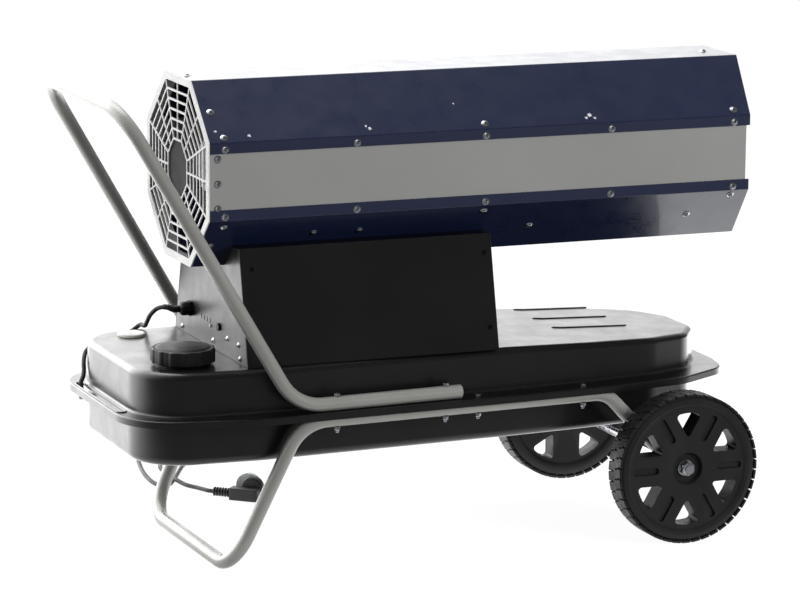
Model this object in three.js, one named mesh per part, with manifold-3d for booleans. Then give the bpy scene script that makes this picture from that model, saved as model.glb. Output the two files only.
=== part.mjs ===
// Wheeled diesel forced air heater: an eight-sided heating barrel on a pedestal box,
// standing on a flanged fuel tank that is carried by a push handle, a tubular stand and two wheels.
// Millimetres, +Z up. The ground is z = 0. The intake and the handle are at -X, the outlet and
// the wheels at +X, and -Y is the side with the plain pedestal cover.

import * as THREE from 'three';
import { mergeVertices } from 'three/addons/utils/BufferGeometryUtils.js';
import Module from 'manifold-3d';

const wasm = await Module();
wasm.setup();

// ---------------------------------------------------------------- driving dimensions

// Clearances and sheet
const SEAT = 0.3; // gap left where one piece rests on another
const RUNNING = 0.3; // radial gap round anything that turns
const SHEET = 1.2; // thickness of the pressed and folded steel

// Barrel
const BARREL = { across: 264, axisZ: 552, leftX: -347, rightX: 499, sideCutBack: 14 };
const PANEL_HALF = 39.5; // half height of the side panel that shows between the shells
const PANEL_LAP = 11; // how far the shells' side flanges lap over the panel
const PANEL_RIGHT_X = 480;

// Intake grille
const GRILLE = { thickness: 1.8, border: 11, centreAcross: 78, bar: 3, rings: 6, flange: 20 };

// Outlet and combustion chamber
const OUTLET = { x: 470, holeRadius: 113, rim: 16 };
const CHAMBER = { radius: 96, rearX: -30, frontX: 462, portRadius: 46, neckRadius: 84 };
const DIFFUSER = { radius: 58, x: 420, armWidth: 16, thickness: 2 };
const BRACKET = { footHalf: 46, shoulderHalf: 74, shoulderRise: 29, depth: 16 };
const BRACKET_X = [40, 360];
const BURNER = { flangeRadius: 54, adaptorRadius: 12, adaptorRearX: -58, noseX: 12 };
const ELECTRODE = { block: 16, offset: 26, rodRadius: 1.5, spread: 5, tipX: 6 };

// Motor, fan and pump
const MOTOR = { radius: 45, leftX: -258, rightX: -158, bossRadius: 16, bossLength: 8 };
const SHAFT = { radius: 5, leftX: -283, rightX: -97 };
const FAN = { radius: 112, hubRadius: 20, hubLeftX: -136, hubRightX: -104, blades: 5, pitch: 28 };
const MOTOR_BRACKET = { leftX: -236, rightX: -180, footHalf: 48, topHalf: 36, wall: 2 };
const PUMP = { radius: 50, length: 30, filterRadius: 34, filterLength: 12 };

// Pedestal box
const PEDESTAL = { leftX: -299, rightX: 82, topHalf: 117, bottomHalf: 155, topZ: 454, tray: 14 };
const SLOTS = [39.7, 27.7, 15.2, 2.8]; // y of the four narrow slots in the left plate
const SLOT = { width: 2.2, height: 7, z: 329 };

// Tank
const SEAM_Z = 228.5; // plane between the two pressed halves
const TANK = { topZ: 291, bottomZ: 159, edge: 10, bottomEdge: 12, draft: 1, lip: 9 };
const TOP_FALL = { fromX: 100, toX: 446, drop: 12 }; // the top falls towards the outlet end
// Half outlines in plan as [x, y, corner radius], from the left end to the right end
const FLANGE_CORNERS = [
  [-476, 172, 88],
  [-300, 207, 150],
  [100, 187, 400],
  [256, 176, 200],
  [376, 158, 70],
  [463, 108, 50],
  [474, 50, 40],
];
const WALL_CORNERS = [
  [-453, 158, 76],
  [-280, 168, 200],
  [100, 149, 400],
  [230, 139, 200],
  [340, 124, 90],
  [410, 96, 50],
  [446, 40, 36],
];
const HAND_SLOT = { x: -464.5, half: 100, width: 11 };
const RIB = { xs: [232, 342], ys: [-22, 48, 118], width: 7, rise: 1.6 };

// Filler, gauge and pick-up on the tank
const FILLER = { x: -373, y: -92, bore: 30, neckRadius: 36, rise: 14, flangeRadius: 40 };
const CAP = { radius: 45.5, flat: 1.6, bottomRise: 4, skirt: 20, dome: 6, ribs: 14, wall: 3 };
const STRAINER = { radius: 28, depth: 52, wall: 1.5 };
const GAUGE = { x: -380, y: 115, radius: 20, rise: 4, boreRadius: 9, stem: 38, stemRadius: 6 };
const FLOAT = { arm: 78, armRadius: 1.8, radius: 14, length: 30, dip: 32 };
const PICKUP = { x: -75, y: 0, radius: 4, bottomZ: 170, topZ: 306, strainerRadius: 11 };
const FUEL_LINE = { radius: 3, bend: 18 };

// Tube frame
const TUBE = { radius: 10, sides: 10, boreRadius: 8.9, boreSides: 6 };
const HANDLE = { topX: -489, topZ: 664, topHalf: 178, cornerX: -242, cornerHalf: 192, endX: 13 };
const HANDLE_BENDS = { top: 58, bottom: 70 };
const HANDLE_END_HALF = 177;
const STAND = { footX: -329, footHalf: 173, cornerX: -233, kneeX: 247, kneeHalf: 163 };
const STAND_BENDS = { foot: 58, corner: 60, knee: 45 };
const BOLT = { radius: 2.5, holeRadius: 2.9, headAcross: 8, headHeight: 3.5, nut: 4, tail: 9 };
const HANDLE_BOLT_XS = [-178.5, -10.5]; // through handle, tank flange and stand
const STAND_BOLT_XS = [41, 209.7]; // through tank flange and stand only

// Wheels and axle
const WHEEL = { radius: 110, outerY: 229, width: 40, hubInner: 13, recessRadius: 23, recess: 13 };
const WHEEL_RIM = { inner: 88, web: 6, face: 36, spokes: 6, spokeHalf: 21, windowRadius: 83 };
const WHEEL_EDGE = { bead: 98, shoulder: 3, shoulderWidth: 8, hubOuter: 18 };
const WHEEL_GROOVE = { from: 50, to: 84, half: 5, depth: 3 };
const FAR_WHEEL_TURN = 30; // how far the far wheel stands turned from the near one
const AXLE = { x: 351, radius: 6, pastEnd: 14, standOut: 4 };
const AXLE_NUT = { across: 19, height: 9, collarRadius: 7.6, washerRadius: 12, washer: 2 };

// Electrics
const GLAND = { y: 83.6, z: 332, radius: 10.5, standOut: 19, threadRadius: 8, bore: 3.7, inside: 12 };
const CORD_RADIUS = 3.3;
const CORD_STRAIGHT = 8; // the cord runs straight this far out of the gland and into the plug
const CORD_STEPS = 80;
const RESET = { y: -35.8, z: 327.5, radius: 5.4, standOut: 3.4, travel: 2.5, inside: 10 };
const LAMP = { y: 1.5, z: 322, radius: 2.3, standOut: 1.6, inside: 8 };
const BOARD = { y: [-70, 14], z: [346, 402], thickness: 1.6, standoff: 8 };
const RELAY = { fromEdge: 12, width: 20, low: 10, height: 28, depth: 16 };
const TERMINALS = { fromEdge: 10, width: 28, low: 4, height: 14, depth: 12 };
const TRANSFORMER = { x: [-10, 58], y: [-34, 34], height: 52 };
const SWITCH = { x: -200, up: 92, half: [13, 11], frame: [17, 15], flange: 2.2, depth: 13 };
const ROCKER = { half: [10.2, 7.4], crown: 1.6, keel: 7, tilt: 9, pivot: 1.4 };
const THERMOSTAT = { x: -120, up: 92, bushing: 4.5, body: 17, depth: 20, knob: 17, knobHeight: 15 };

// Mains plug, lying on the ground beyond the far side
const PLUG = { x: -184.3, y: 234.7, z: 12, turn: -42, width: 19, length: 45, relief: 28 };
const PLUG_RIBS = { count: 6, pitch: 4.4, width: 2.4, radius: 7.2, neck: 5.2 };
const PLUG_HEAD = { radius: 17, depth: 9, along: 30.5, centreZ: 20.5 };
const PLUG_COVER = { radius: 20, from: 7, depth: 15, along: 21.5 };

// ---------------------------------------------------------------- colours and finishes

const finish = (color, roughness, metalness) => ({ color, roughness, metalness });
const NAVY = finish(0x1f2740, 0.3, 0.35);
const PANEL_GREY = finish(0x8c8c8a, 0.5, 0.3);
const GRILLE_GREY = finish(0xc8c8c6, 0.45, 0.4);
const TUBE_GREY = finish(0x8f8f8b, 0.4, 0.6);
const BLACK_PAINT = finish(0x141414, 0.35, 0.2);
const BLACK_PLASTIC = finish(0x18181a, 0.6, 0);
const DARK_BLANK = finish(0x262626, 0.6, 0.1);
const ZINC = finish(0xc4c6c8, 0.3, 0.9);
const STAINLESS = finish(0x9a9a98, 0.35, 0.9);
const BRASS = finish(0xb08d3c, 0.35, 0.9);
const COPPER = finish(0xb4673a, 0.35, 0.9);
const RUBBER = finish(0x161616, 0.85, 0);
const WHITE_PLASTIC = finish(0xe4e4df, 0.5, 0);
const BOARD_GREEN = finish(0x1d5a36, 0.6, 0);

// ---------------------------------------------------------------- shapes and booleans

const heater = new THREE.Group();
const X = new THREE.Vector3(1, 0, 0);
const Y = new THREE.Vector3(0, 1, 0);
const Z = new THREE.Vector3(0, 0, 1);
const vec = (x, y, z) => new THREE.Vector3(x, y, z);
const flat = (pairs) => pairs.map(([a, b]) => new THREE.Vector2(a, b));
const rad = THREE.MathUtils.degToRad;

function addPiece(name, geometry, look) {
  const mesh = new THREE.Mesh(geometry, new THREE.MeshStandardMaterial(look));
  mesh.name = name;
  heater.add(mesh);
  return mesh;
}

function welded(geometry) {
  const bare = geometry.clone();
  bare.deleteAttribute('normal');
  bare.deleteAttribute('uv');
  return mergeVertices(bare, 1e-3);
}

function solidOf(geometry) {
  const merged = welded(geometry);
  return new wasm.Manifold(new wasm.Mesh({
    numProp: 3,
    vertProperties: new Float32Array(merged.attributes.position.array),
    triVerts: new Uint32Array(merged.index.array),
  }));
}

function geometryOf(solid) {
  const mesh = solid.getMesh();
  const geometry = new THREE.BufferGeometry();
  geometry.setAttribute('position', new THREE.BufferAttribute(new Float32Array(mesh.vertProperties), 3));
  geometry.setIndex(new THREE.BufferAttribute(new Uint32Array(mesh.triVerts), 1));
  return geometry;
}

const cut = (base, ...tools) =>
  geometryOf(tools.reduce((solid, tool) => solid.subtract(solidOf(tool)), solidOf(base)));
const join = (base, ...others) =>
  geometryOf(others.reduce((solid, other) => solid.add(solidOf(other)), solidOf(base)));
const common = (base, other) => geometryOf(solidOf(base).intersect(solidOf(other)));

function shapeOf(points, holes = []) {
  const shape = new THREE.Shape(points);
  shape.holes = holes.map((hole) => new THREE.Path(hole));
  return shape;
}

function extrudeAlong(points, from, to, basis, holes) {
  const options = { depth: to - from, bevelEnabled: false, curveSegments: 1 };
  const geometry = new THREE.ExtrudeGeometry(shapeOf(points, holes), options);
  geometry.applyMatrix4(new THREE.Matrix4().makeBasis(...basis));
  return geometry;
}

// Outlines drawn in (y, z), (x, z) and (x, y), pushed along the third axis
const prismX = (points, from, to, holes) =>
  extrudeAlong(points, from, to, [Y, Z, X], holes).translate(from, 0, 0);
const prismY = (points, from, to, holes) =>
  extrudeAlong(points, from, to, [X, Z, Y.clone().negate()], holes).translate(0, to, 0);
const prismZ = (points, from, to, holes) =>
  extrudeAlong(points, from, to, [X, Y, Z], holes).translate(0, 0, from);

function block(xs, ys, zs) {
  const box = new THREE.BoxGeometry(xs[1] - xs[0], ys[1] - ys[0], zs[1] - zs[0]);
  return box.translate((xs[0] + xs[1]) / 2, (ys[0] + ys[1]) / 2, (zs[0] + zs[1]) / 2);
}

function rod(from, to, radius, sides = 12) {
  const way = to.clone().sub(from);
  const cylinder = new THREE.CylinderGeometry(radius, radius, way.length(), sides);
  const turn = new THREE.Quaternion().setFromUnitVectors(Y, way.clone().normalize());
  const middle = from.clone().add(to).multiplyScalar(0.5);
  return cylinder.applyQuaternion(turn).translate(middle.x, middle.y, middle.z);
}

// A turned part: profile of [radius, distance along the axis], the axis running along +Z.
// The profile goes round the material from the low end of the outside to the high end.
function turned(profile, sides) {
  const closed = profile[0][0] > 0 ? [...profile, profile[0]] : profile;
  return new THREE.LatheGeometry(flat(closed), sides).rotateX(Math.PI / 2);
}
const turnedX = (profile, sides) => turned(profile, sides).rotateY(Math.PI / 2);

function inset(points, distance) {
  const count = points.length;
  return points.map((point, i) => {
    const before = points[(i + count - 1) % count];
    const after = points[(i + 1) % count];
    const a = point.clone().sub(before).normalize();
    const b = after.clone().sub(point).normalize();
    const normalA = new THREE.Vector2(-a.y, a.x);
    const normalB = new THREE.Vector2(-b.y, b.x);
    const mitre = normalA.clone().add(normalB).normalize();
    return point.clone().addScaledVector(mitre, distance / mitre.dot(normalA));
  });
}

// A path in space with its corners rounded: stops are {at, bend}
function roundedRoute(stops, segments) {
  const route = [];
  stops.forEach(({ at, bend }, i) => {
    if (!bend) {
      route.push(at);
      return;
    }
    const back = stops[i - 1].at.clone().sub(at).normalize();
    const on = stops[i + 1].at.clone().sub(at).normalize();
    const half = back.angleTo(on) / 2;
    const start = at.clone().addScaledVector(back, bend / Math.tan(half));
    const end = at.clone().addScaledVector(on, bend / Math.tan(half));
    const middle = back.clone().add(on).normalize();
    const centre = at.clone().addScaledVector(middle, bend / Math.sin(half));
    const from = start.sub(centre);
    const to = end.sub(centre);
    const sweep = from.angleTo(to);
    for (let k = 0; k <= segments; k += 1) {
      const t = k / segments;
      const a = Math.sin((1 - t) * sweep) / Math.sin(sweep);
      const b = Math.sin(t * sweep) / Math.sin(sweep);
      route.push(centre.clone().addScaledVector(from, a).addScaledVector(to, b));
    }
  });
  return route;
}

// A curve that passes through its listed points at even steps, so a sweep has one ring a point
class Route extends THREE.Curve {
  constructor(points) {
    super();
    this.points = points;
  }

  getPoint(t, target = new THREE.Vector3()) {
    const place = t * (this.points.length - 1);
    const i = Math.min(Math.floor(place + 1e-9), this.points.length - 2);
    return target.lerpVectors(this.points[i], this.points[i + 1], place - i);
  }

  getPointAt(u, target) {
    return this.getPoint(u, target);
  }

  getTangentAt(u, target = new THREE.Vector3()) {
    const last = this.points.length - 1;
    const i = Math.round(u * last);
    const before = this.points[Math.max(i - 1, 0)];
    const here = this.points[i];
    const after = this.points[Math.min(i + 1, last)];
    const into = here.clone().sub(before).normalize();
    const out = after.clone().sub(here).normalize();
    return target.addVectors(into, out).normalize();
  }

  getTangent(t, target) {
    return this.getTangentAt(t, target);
  }
}

const circle = (radius, sides, offset = 0) =>
  Array.from({ length: sides }, (_, i) => {
    const angle = ((i + offset) * 2 * Math.PI) / sides;
    return new THREE.Vector2(radius * Math.cos(angle), radius * Math.sin(angle));
  });

function sweep(points, radius, sides, bore = []) {
  const holes = bore.length ? [bore] : [];
  const options = { steps: points.length - 1, extrudePath: new Route(points), bevelEnabled: false };
  return new THREE.ExtrudeGeometry(shapeOf(circle(radius, sides), holes), options);
}

// ---------------------------------------------------------------- barrel

// Half the length of one side of an octagon, from its width across the flats
const halfSide = (across) => (across / 2) * Math.tan(Math.PI / 8);

function octagon(across, centreZ = 0) {
  const a = across / 2;
  const h = halfSide(across);
  const points = [[a, -h], [a, h], [h, a], [-h, a], [-a, h], [-a, -h], [-h, -a], [h, -a]];
  return flat(points.map(([y, z]) => [y, z + centreZ]));
}

const SHELL_IN = BARREL.across - 2 * SHEET; // across the inside of the shells
const PANEL_OUT = SHELL_IN - 2 * SEAT; // across the outside of the side panels
const LINING = PANEL_OUT - 2 * SHEET - 2 * SEAT; // across what fits inside panels and shells
const FLOOR_Z = BARREL.axisZ - SHELL_IN / 2; // inside of the barrel's bottom face
const UNDER_Z = BARREL.axisZ - BARREL.across / 2; // outside of it

// Plan outline of the barrel: the outlet edge is cut back at the sides
function barrelPlan() {
  const a = BARREL.across / 2;
  const h = halfSide(BARREL.across);
  const sideX = BARREL.rightX - BARREL.sideCutBack;
  const x0 = BARREL.leftX;
  return flat([[x0, -a - 1], [sideX, -a - 1], [sideX, -a], [BARREL.rightX, -h],
    [BARREL.rightX, h], [sideX, a], [sideX, a + 1], [x0, a + 1]]);
}

// One folded shell: side flange, slant, flat, slant, side flange. side is 1 on top, -1 below
function barrelShell(side) {
  const a = BARREL.across / 2;
  const h = halfSide(BARREL.across);
  const b = SHELL_IN / 2;
  const g = halfSide(SHELL_IN);
  const half = [[a, PANEL_HALF], [a, h], [h, a], [-h, a], [-a, h], [-a, PANEL_HALF],
    [-b, PANEL_HALF], [-b, g], [-g, b], [g, b], [b, g], [b, PANEL_HALF]];
  const outline = half.map(([y, z]) => [y, BARREL.axisZ + side * z]);
  const points = flat(side > 0 ? outline : outline.reverse());
  const tall = prismX(points, BARREL.leftX, BARREL.rightX + 1);
  const plan = prismZ(barrelPlan(), BARREL.axisZ - BARREL.across, BARREL.axisZ + BARREL.across);
  return common(tall, plan);
}

function sidePanel(side) {
  const out = side * (PANEL_OUT / 2);
  const back = side * (PANEL_OUT / 2 - SHEET);
  const reach = PANEL_HALF + PANEL_LAP;
  return block([BARREL.leftX, PANEL_RIGHT_X], [Math.min(out, back), Math.max(out, back)],
    [BARREL.axisZ - reach, BARREL.axisZ + reach]);
}

// The grille: a flat eight-sided plate with rings of slots, and a flange folded back inside
function intakeGrille() {
  const tangent = Math.tan(Math.PI / 8);
  const outer = BARREL.across / 2 - GRILLE.border;
  const inner = GRILLE.centreAcross / 2;
  const ringPitch = (outer - inner) / GRILLE.rings;
  const slotDepth = ringPitch - GRILLE.bar;
  const halfBar = GRILLE.bar / 2;
  const cornerBar = halfBar / Math.cos(Math.PI / 8);
  const slots = [];
  for (let side = 0; side < 8; side += 1) {
    const turn = (side * Math.PI) / 4;
    for (let ring = 0; ring < GRILLE.rings; ring += 1) {
      const far = outer - ring * ringPitch;
      const near = far - slotDepth;
      [1, -1].forEach((hand) => {
        const corners = [[near, halfBar], [far, halfBar],
          [far, far * tangent - cornerBar], [near, near * tangent - cornerBar]];
        const slot = flat(corners.map(([a, t]) => [a, hand * t]));
        slots.push(slot.map((point) => point.rotateAround(new THREE.Vector2(), turn)));
      });
    }
  }
  const faceX = BARREL.leftX - SEAT;
  const plate = prismX(octagon(BARREL.across), faceX - GRILLE.thickness, faceX,
    [octagon(GRILLE.centreAcross)]);
  const skirt = prismX(octagon(LINING), faceX - 0.5, faceX + GRILLE.flange,
    [octagon(LINING - 2 * SHEET)]);
  const punches = slots.map((slot) => prismX(slot, faceX - GRILLE.thickness - 1, faceX + 1));
  return cut(join(plate, skirt), ...punches).translate(0, 0, BARREL.axisZ);
}

function grilleCentrePlate() {
  const faceX = BARREL.leftX - SEAT;
  const across = GRILLE.centreAcross + 2 * GRILLE.bar;
  return prismX(octagon(across, BARREL.axisZ), faceX + SEAT, faceX + SEAT + SHEET);
}

function outletPlate() {
  const hole = circle(OUTLET.holeRadius, 32);
  const plate = prismX(octagon(LINING), OUTLET.x - SHEET, OUTLET.x, [hole]);
  const rim = prismX(octagon(LINING), OUTLET.x - OUTLET.rim, OUTLET.x - 0.5,
    [octagon(LINING - 2 * SHEET)]);
  return join(plate, rim).translate(0, 0, BARREL.axisZ);
}

addPiece('upper_shell', barrelShell(1), NAVY);
const lineHole = rod(vec(PICKUP.x, PICKUP.y, UNDER_Z - 5), vec(PICKUP.x, PICKUP.y, FLOOR_Z + 5),
  FUEL_LINE.radius + 3, 12);
addPiece('lower_shell', cut(barrelShell(-1), lineHole), NAVY);
addPiece('side_panel_near', sidePanel(-1), PANEL_GREY);
addPiece('side_panel_far', sidePanel(1), PANEL_GREY);
addPiece('intake_grille', intakeGrille(), GRILLE_GREY);
addPiece('grille_centre_plate', grilleCentrePlate(), DARK_BLANK);
addPiece('outlet_plate', outletPlate(), NAVY);

// ---------------------------------------------------------------- combustion chamber and burner

function combustionChamber() {
  const r = CHAMBER.radius;
  const inner = r - SHEET;
  const { rearX, frontX, portRadius, neckRadius } = CHAMBER;
  const neckX = frontX - 22;
  return turnedX([[portRadius, rearX], [r, rearX], [r, neckX], [neckRadius, frontX],
    [neckRadius - SHEET, frontX], [inner, neckX], [inner, rearX + SHEET],
    [portRadius, rearX + SHEET]], 28).translate(0, 0, BARREL.axisZ);
}

function flameDiffuser() {
  const { x, thickness, radius, armWidth } = DIFFUSER;
  const reach = CHAMBER.radius - SHEET - SEAT;
  const disc = prismX(circle(radius, 24), x, x + thickness);
  const arms = [90, 210, 330].map((angle) =>
    block([x, x + thickness], [0, reach * 0.995], [-armWidth / 2, armWidth / 2]).rotateX(rad(angle)));
  const web = join(disc, ...arms);
  const roundEnd = prismX(circle(reach, 28), x - 1, x + thickness + 1);
  return common(web, roundEnd).translate(0, 0, BARREL.axisZ);
}

// A folded cradle standing on the barrel's floor under the chamber
function chamberBracket(x) {
  const { footHalf, shoulderHalf, shoulderRise, depth } = BRACKET;
  const floor = FLOOR_Z + SEAT;
  const seatRadius = CHAMBER.radius + SEAT + 0.6;
  const saddle = [];
  for (let i = 0; i <= 10; i += 1) {
    const angle = Math.asin(shoulderHalf / seatRadius) * (1 - i / 5);
    const y = seatRadius * Math.sin(angle);
    saddle.push([y, BARREL.axisZ - seatRadius * Math.cos(angle)]);
  }
  const outline = flat([[-footHalf, floor], [footHalf, floor],
    [shoulderHalf, floor + shoulderRise], ...saddle, [-shoulderHalf, floor + shoulderRise]]);
  const tray = prismX(outline, x, x + depth);
  return cut(tray, prismX(inset(outline, SHEET), x + SHEET, x + depth + 1));
}

function burnerHead() {
  const { flangeRadius, adaptorRadius, adaptorRearX, noseX } = BURNER;
  const rear = CHAMBER.rearX - SEAT;
  const port = CHAMBER.portRadius - 1;
  const body = turnedX([[0, adaptorRearX], [adaptorRadius, adaptorRearX], [adaptorRadius, rear - SHEET],
    [flangeRadius, rear - SHEET], [flangeRadius, rear], [port, rear], [port, rear + 6],
    [port - SHEET, rear + 6], [port - SHEET, rear], [adaptorRadius, rear], [adaptorRadius, noseX - 10],
    [5, noseX], [0, noseX]], 16);
  const sensor = rod(vec(rear - 22, -30, 0), vec(rear + 1, -30, 0), 7, 12);
  const rodHoles = [-1, 1].map((hand) => rod(
    vec(rear - 5, hand * ELECTRODE.spread, ELECTRODE.offset),
    vec(rear + 3, hand * ELECTRODE.spread, ELECTRODE.offset), ELECTRODE.rodRadius + 1, 8));
  return cut(join(body, sensor), ...rodHoles).translate(0, 0, BARREL.axisZ);
}

function ignitionElectrodes() {
  const { block: size, offset, rodRadius, spread, tipX } = ELECTRODE;
  const face = CHAMBER.rearX - 2 * SEAT - SHEET;
  const ceramic = block([face - 18, face], [-size / 2 - 2, size / 2 + 2], [offset - 7, offset + 7]);
  const rods = [-1, 1].map((hand) => sweep(roundedRoute([
    { at: vec(face - 1, hand * spread, offset) },
    { at: vec(tipX, hand * spread, offset), bend: 4 },
    { at: vec(tipX + 6, hand * spread * 0.5, offset - 9) },
  ], 3), rodRadius, 6));
  return join(ceramic, ...rods).translate(0, 0, BARREL.axisZ);
}

addPiece('combustion_chamber', combustionChamber(), STAINLESS);
addPiece('flame_diffuser', flameDiffuser(), STAINLESS);
addPiece('chamber_bracket_rear', chamberBracket(BRACKET_X[0]), ZINC);
addPiece('chamber_bracket_front', chamberBracket(BRACKET_X[1]), ZINC);
addPiece('burner_head', burnerHead(), ZINC);
addPiece('ignition_electrodes', ignitionElectrodes(), WHITE_PLASTIC);

// ---------------------------------------------------------------- motor, pump and fan

function motorBody() {
  const { radius, leftX, rightX, bossRadius, bossLength } = MOTOR;
  const bore = SHAFT.radius + RUNNING;
  return turnedX([[bore, leftX - bossLength], [bossRadius, leftX - bossLength], [bossRadius, leftX],
    [radius - 5, leftX], [radius, leftX + 6], [radius, rightX - 6], [radius - 5, rightX],
    [bossRadius, rightX], [bossRadius, rightX + bossLength], [bore, rightX + bossLength]], 18)
    .translate(0, 0, BARREL.axisZ);
}

// The pump is closed by its filter cover; the motor shaft ends inside it
function airPump() {
  const { radius, length, filterRadius, filterLength } = PUMP;
  const right = MOTOR.leftX - MOTOR.bossLength - SEAT;
  const left = right - length;
  const bore = SHAFT.radius + RUNNING;
  const endOfBore = SHAFT.leftX - SEAT;
  return turnedX([[0, left - filterLength], [filterRadius, left - filterLength],
    [filterRadius, left], [radius, left], [radius, right], [bore, right], [bore, endOfBore],
    [0, endOfBore]], 18).translate(0, 0, BARREL.axisZ);
}

function fan() {
  const { radius, hubRadius, hubLeftX, hubRightX, blades, pitch } = FAN;
  const hub = turnedX([[SHAFT.radius + SEAT, hubLeftX], [hubRadius, hubLeftX], [hubRadius, hubRightX],
    [SHAFT.radius + SEAT, hubRightX]], 20);
  const middle = (hubLeftX + hubRightX) / 2;
  const root = hubRadius - 3;
  const chord = (hubRightX - hubLeftX) * 0.9;
  const bladeSet = Array.from({ length: blades }, (_, i) => {
    const outline = flat([[-chord / 2, root], [chord / 2, root], [chord, radius * 0.55],
      [chord * 0.95, radius * 0.96], [-chord * 0.75, radius * 0.99], [-chord * 0.8, radius * 0.5]]);
    const blade = prismY(outline, -0.9, 0.9).rotateZ(rad(90 - pitch));
    return blade.translate(middle, 0, 0).rotateX((i * 2 * Math.PI) / blades);
  });
  return join(hub, ...bladeSet).translate(0, 0, BARREL.axisZ);
}

function motorBracket() {
  const { leftX, rightX, footHalf, topHalf, wall } = MOTOR_BRACKET;
  const floor = FLOOR_Z + SEAT;
  const seatRadius = MOTOR.radius + SEAT + 0.4;
  const saddle = [];
  for (let i = 0; i <= 8; i += 1) {
    const angle = Math.asin(topHalf / seatRadius) * (1 - i / 4);
    saddle.push([seatRadius * Math.sin(angle), BARREL.axisZ - seatRadius * Math.cos(angle)]);
  }
  const outline = flat([[-footHalf, floor], [footHalf, floor], ...saddle]);
  return prismX(outline, leftX, rightX, [inset(outline, wall)]);
}

addPiece('motor_body', motorBody(), BLACK_PAINT);
addPiece('motor_bracket', motorBracket(), ZINC);
addPiece('air_pump', airPump(), STAINLESS);
addPiece('motor_shaft', rod(vec(SHAFT.leftX, 0, BARREL.axisZ), vec(SHAFT.rightX, 0, BARREL.axisZ),
  SHAFT.radius, 16), STAINLESS);
addPiece('fan', fan(), STAINLESS);

// ---------------------------------------------------------------- pedestal box

const TANK_TOP = TANK.topZ;
const BOX_BOTTOM = TANK_TOP + SEAT;
const LEAN_RUN = PEDESTAL.bottomHalf - PEDESTAL.topHalf;
const LEAN_RISE = PEDESTAL.topZ - BOX_BOTTOM;
const LEAN = Math.atan2(LEAN_RUN, LEAN_RISE);
// Where a level at the cover's top edge meets the barrel's lower slant
const slantHalfAt = (z) => z - UNDER_Z + halfSide(BARREL.across);

// The end plates are shallow folded trays that follow the barrel's underside
function endPlateOutline() {
  const side = (SHEET + SEAT) / Math.cos(LEAN);
  const top = PEDESTAL.topZ - SHEET - SEAT;
  const run = (LEAN_RUN / LEAN_RISE) * (PEDESTAL.topZ - top);
  const under = UNDER_Z - SEAT;
  const h = halfSide(BARREL.across);
  const meet = slantHalfAt(top) + SEAT;
  const half = [[PEDESTAL.bottomHalf - side, BOX_BOTTOM], [PEDESTAL.topHalf + run - side, top],
    [meet, top], [h, under]];
  return flat([...half, ...half.map(([y, z]) => [-y, z]).reverse()]);
}

function endPlate(hand) {
  const outline = endPlateOutline();
  const faceX = hand < 0 ? PEDESTAL.leftX : PEDESTAL.rightX;
  const backX = faceX - hand * PEDESTAL.tray;
  const wallX = faceX - hand * SHEET;
  const overX = backX - hand * 1;
  const tray = prismX(outline, Math.min(faceX, backX), Math.max(faceX, backX));
  const hollow = prismX(inset(outline, SHEET), Math.min(wallX, overX), Math.max(wallX, overX));
  return cut(tray, hollow);
}

function leftPlateCuts() {
  const x0 = PEDESTAL.leftX - 2;
  const x1 = PEDESTAL.leftX + SHEET + 2;
  const hole = ({ y, z }, radius) => rod(vec(x0, y, z), vec(x1, y, z), radius, 16);
  const slots = SLOTS.map((y) => block([x0, x1], [y - SLOT.width / 2, y + SLOT.width / 2],
    [SLOT.z - SLOT.height / 2, SLOT.z + SLOT.height / 2]));
  return [...slots, hole(GLAND, GLAND.threadRadius + SEAT), hole(RESET, RESET.radius + SEAT),
    hole(LAMP, LAMP.radius + SEAT)];
}

// A cover: leaning plate with its top edge folded in to the barrel's slant
function sideCover(hand) {
  const { leftX, rightX, topHalf, bottomHalf, topZ } = PEDESTAL;
  const level = topZ - SHEET;
  const inner = slantHalfAt(level) + SEAT;
  const side = SHEET / Math.cos(LEAN);
  const run = (LEAN_RUN / LEAN_RISE) * SHEET;
  const half = [[bottomHalf - side, BOX_BOTTOM], [bottomHalf, BOX_BOTTOM], [topHalf, topZ],
    [slantHalfAt(topZ) + SEAT, topZ], [inner, level], [topHalf + run - side, level]];
  const outline = flat(half.map(([y, z]) => [hand * y, z]));
  return prismX(hand > 0 ? outline : outline.reverse(), leftX, rightX);
}

// A place on the far cover: local x runs towards -X, local y up the cover, local z outwards
function onFarCover(x, up) {
  const upWay = vec(0, -Math.sin(LEAN), Math.cos(LEAN));
  const outWay = vec(0, Math.cos(LEAN), Math.sin(LEAN));
  const origin = vec(x, PEDESTAL.bottomHalf, BOX_BOTTOM).addScaledVector(upWay, up);
  return new THREE.Matrix4().makeBasis(vec(-1, 0, 0), upWay, outWay).setPosition(origin);
}

const switchPlace = onFarCover(SWITCH.x, SWITCH.up);
const thermostatPlace = onFarCover(THERMOSTAT.x, THERMOSTAT.up);

function farCoverCuts() {
  const [halfY, halfX] = SWITCH.half;
  const room = SEAT + 0.2;
  const opening = block([-halfX - room, halfX + room], [-halfY - room, halfY + room], [-8, 8]);
  const hole = turned([[0, -8], [THERMOSTAT.bushing + room, -8], [THERMOSTAT.bushing + room, 8],
    [0, 8]], 16);
  return [opening.applyMatrix4(switchPlace), hole.applyMatrix4(thermostatPlace)];
}

addPiece('pedestal_left_plate', cut(endPlate(-1), ...leftPlateCuts()), BLACK_PAINT);
addPiece('pedestal_right_plate', endPlate(1), BLACK_PAINT);
addPiece('side_cover_near', sideCover(-1), BLACK_PAINT);
addPiece('side_cover_far', cut(sideCover(1), ...farCoverCuts()), BLACK_PAINT);

// ---------------------------------------------------------------- electrics

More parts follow.
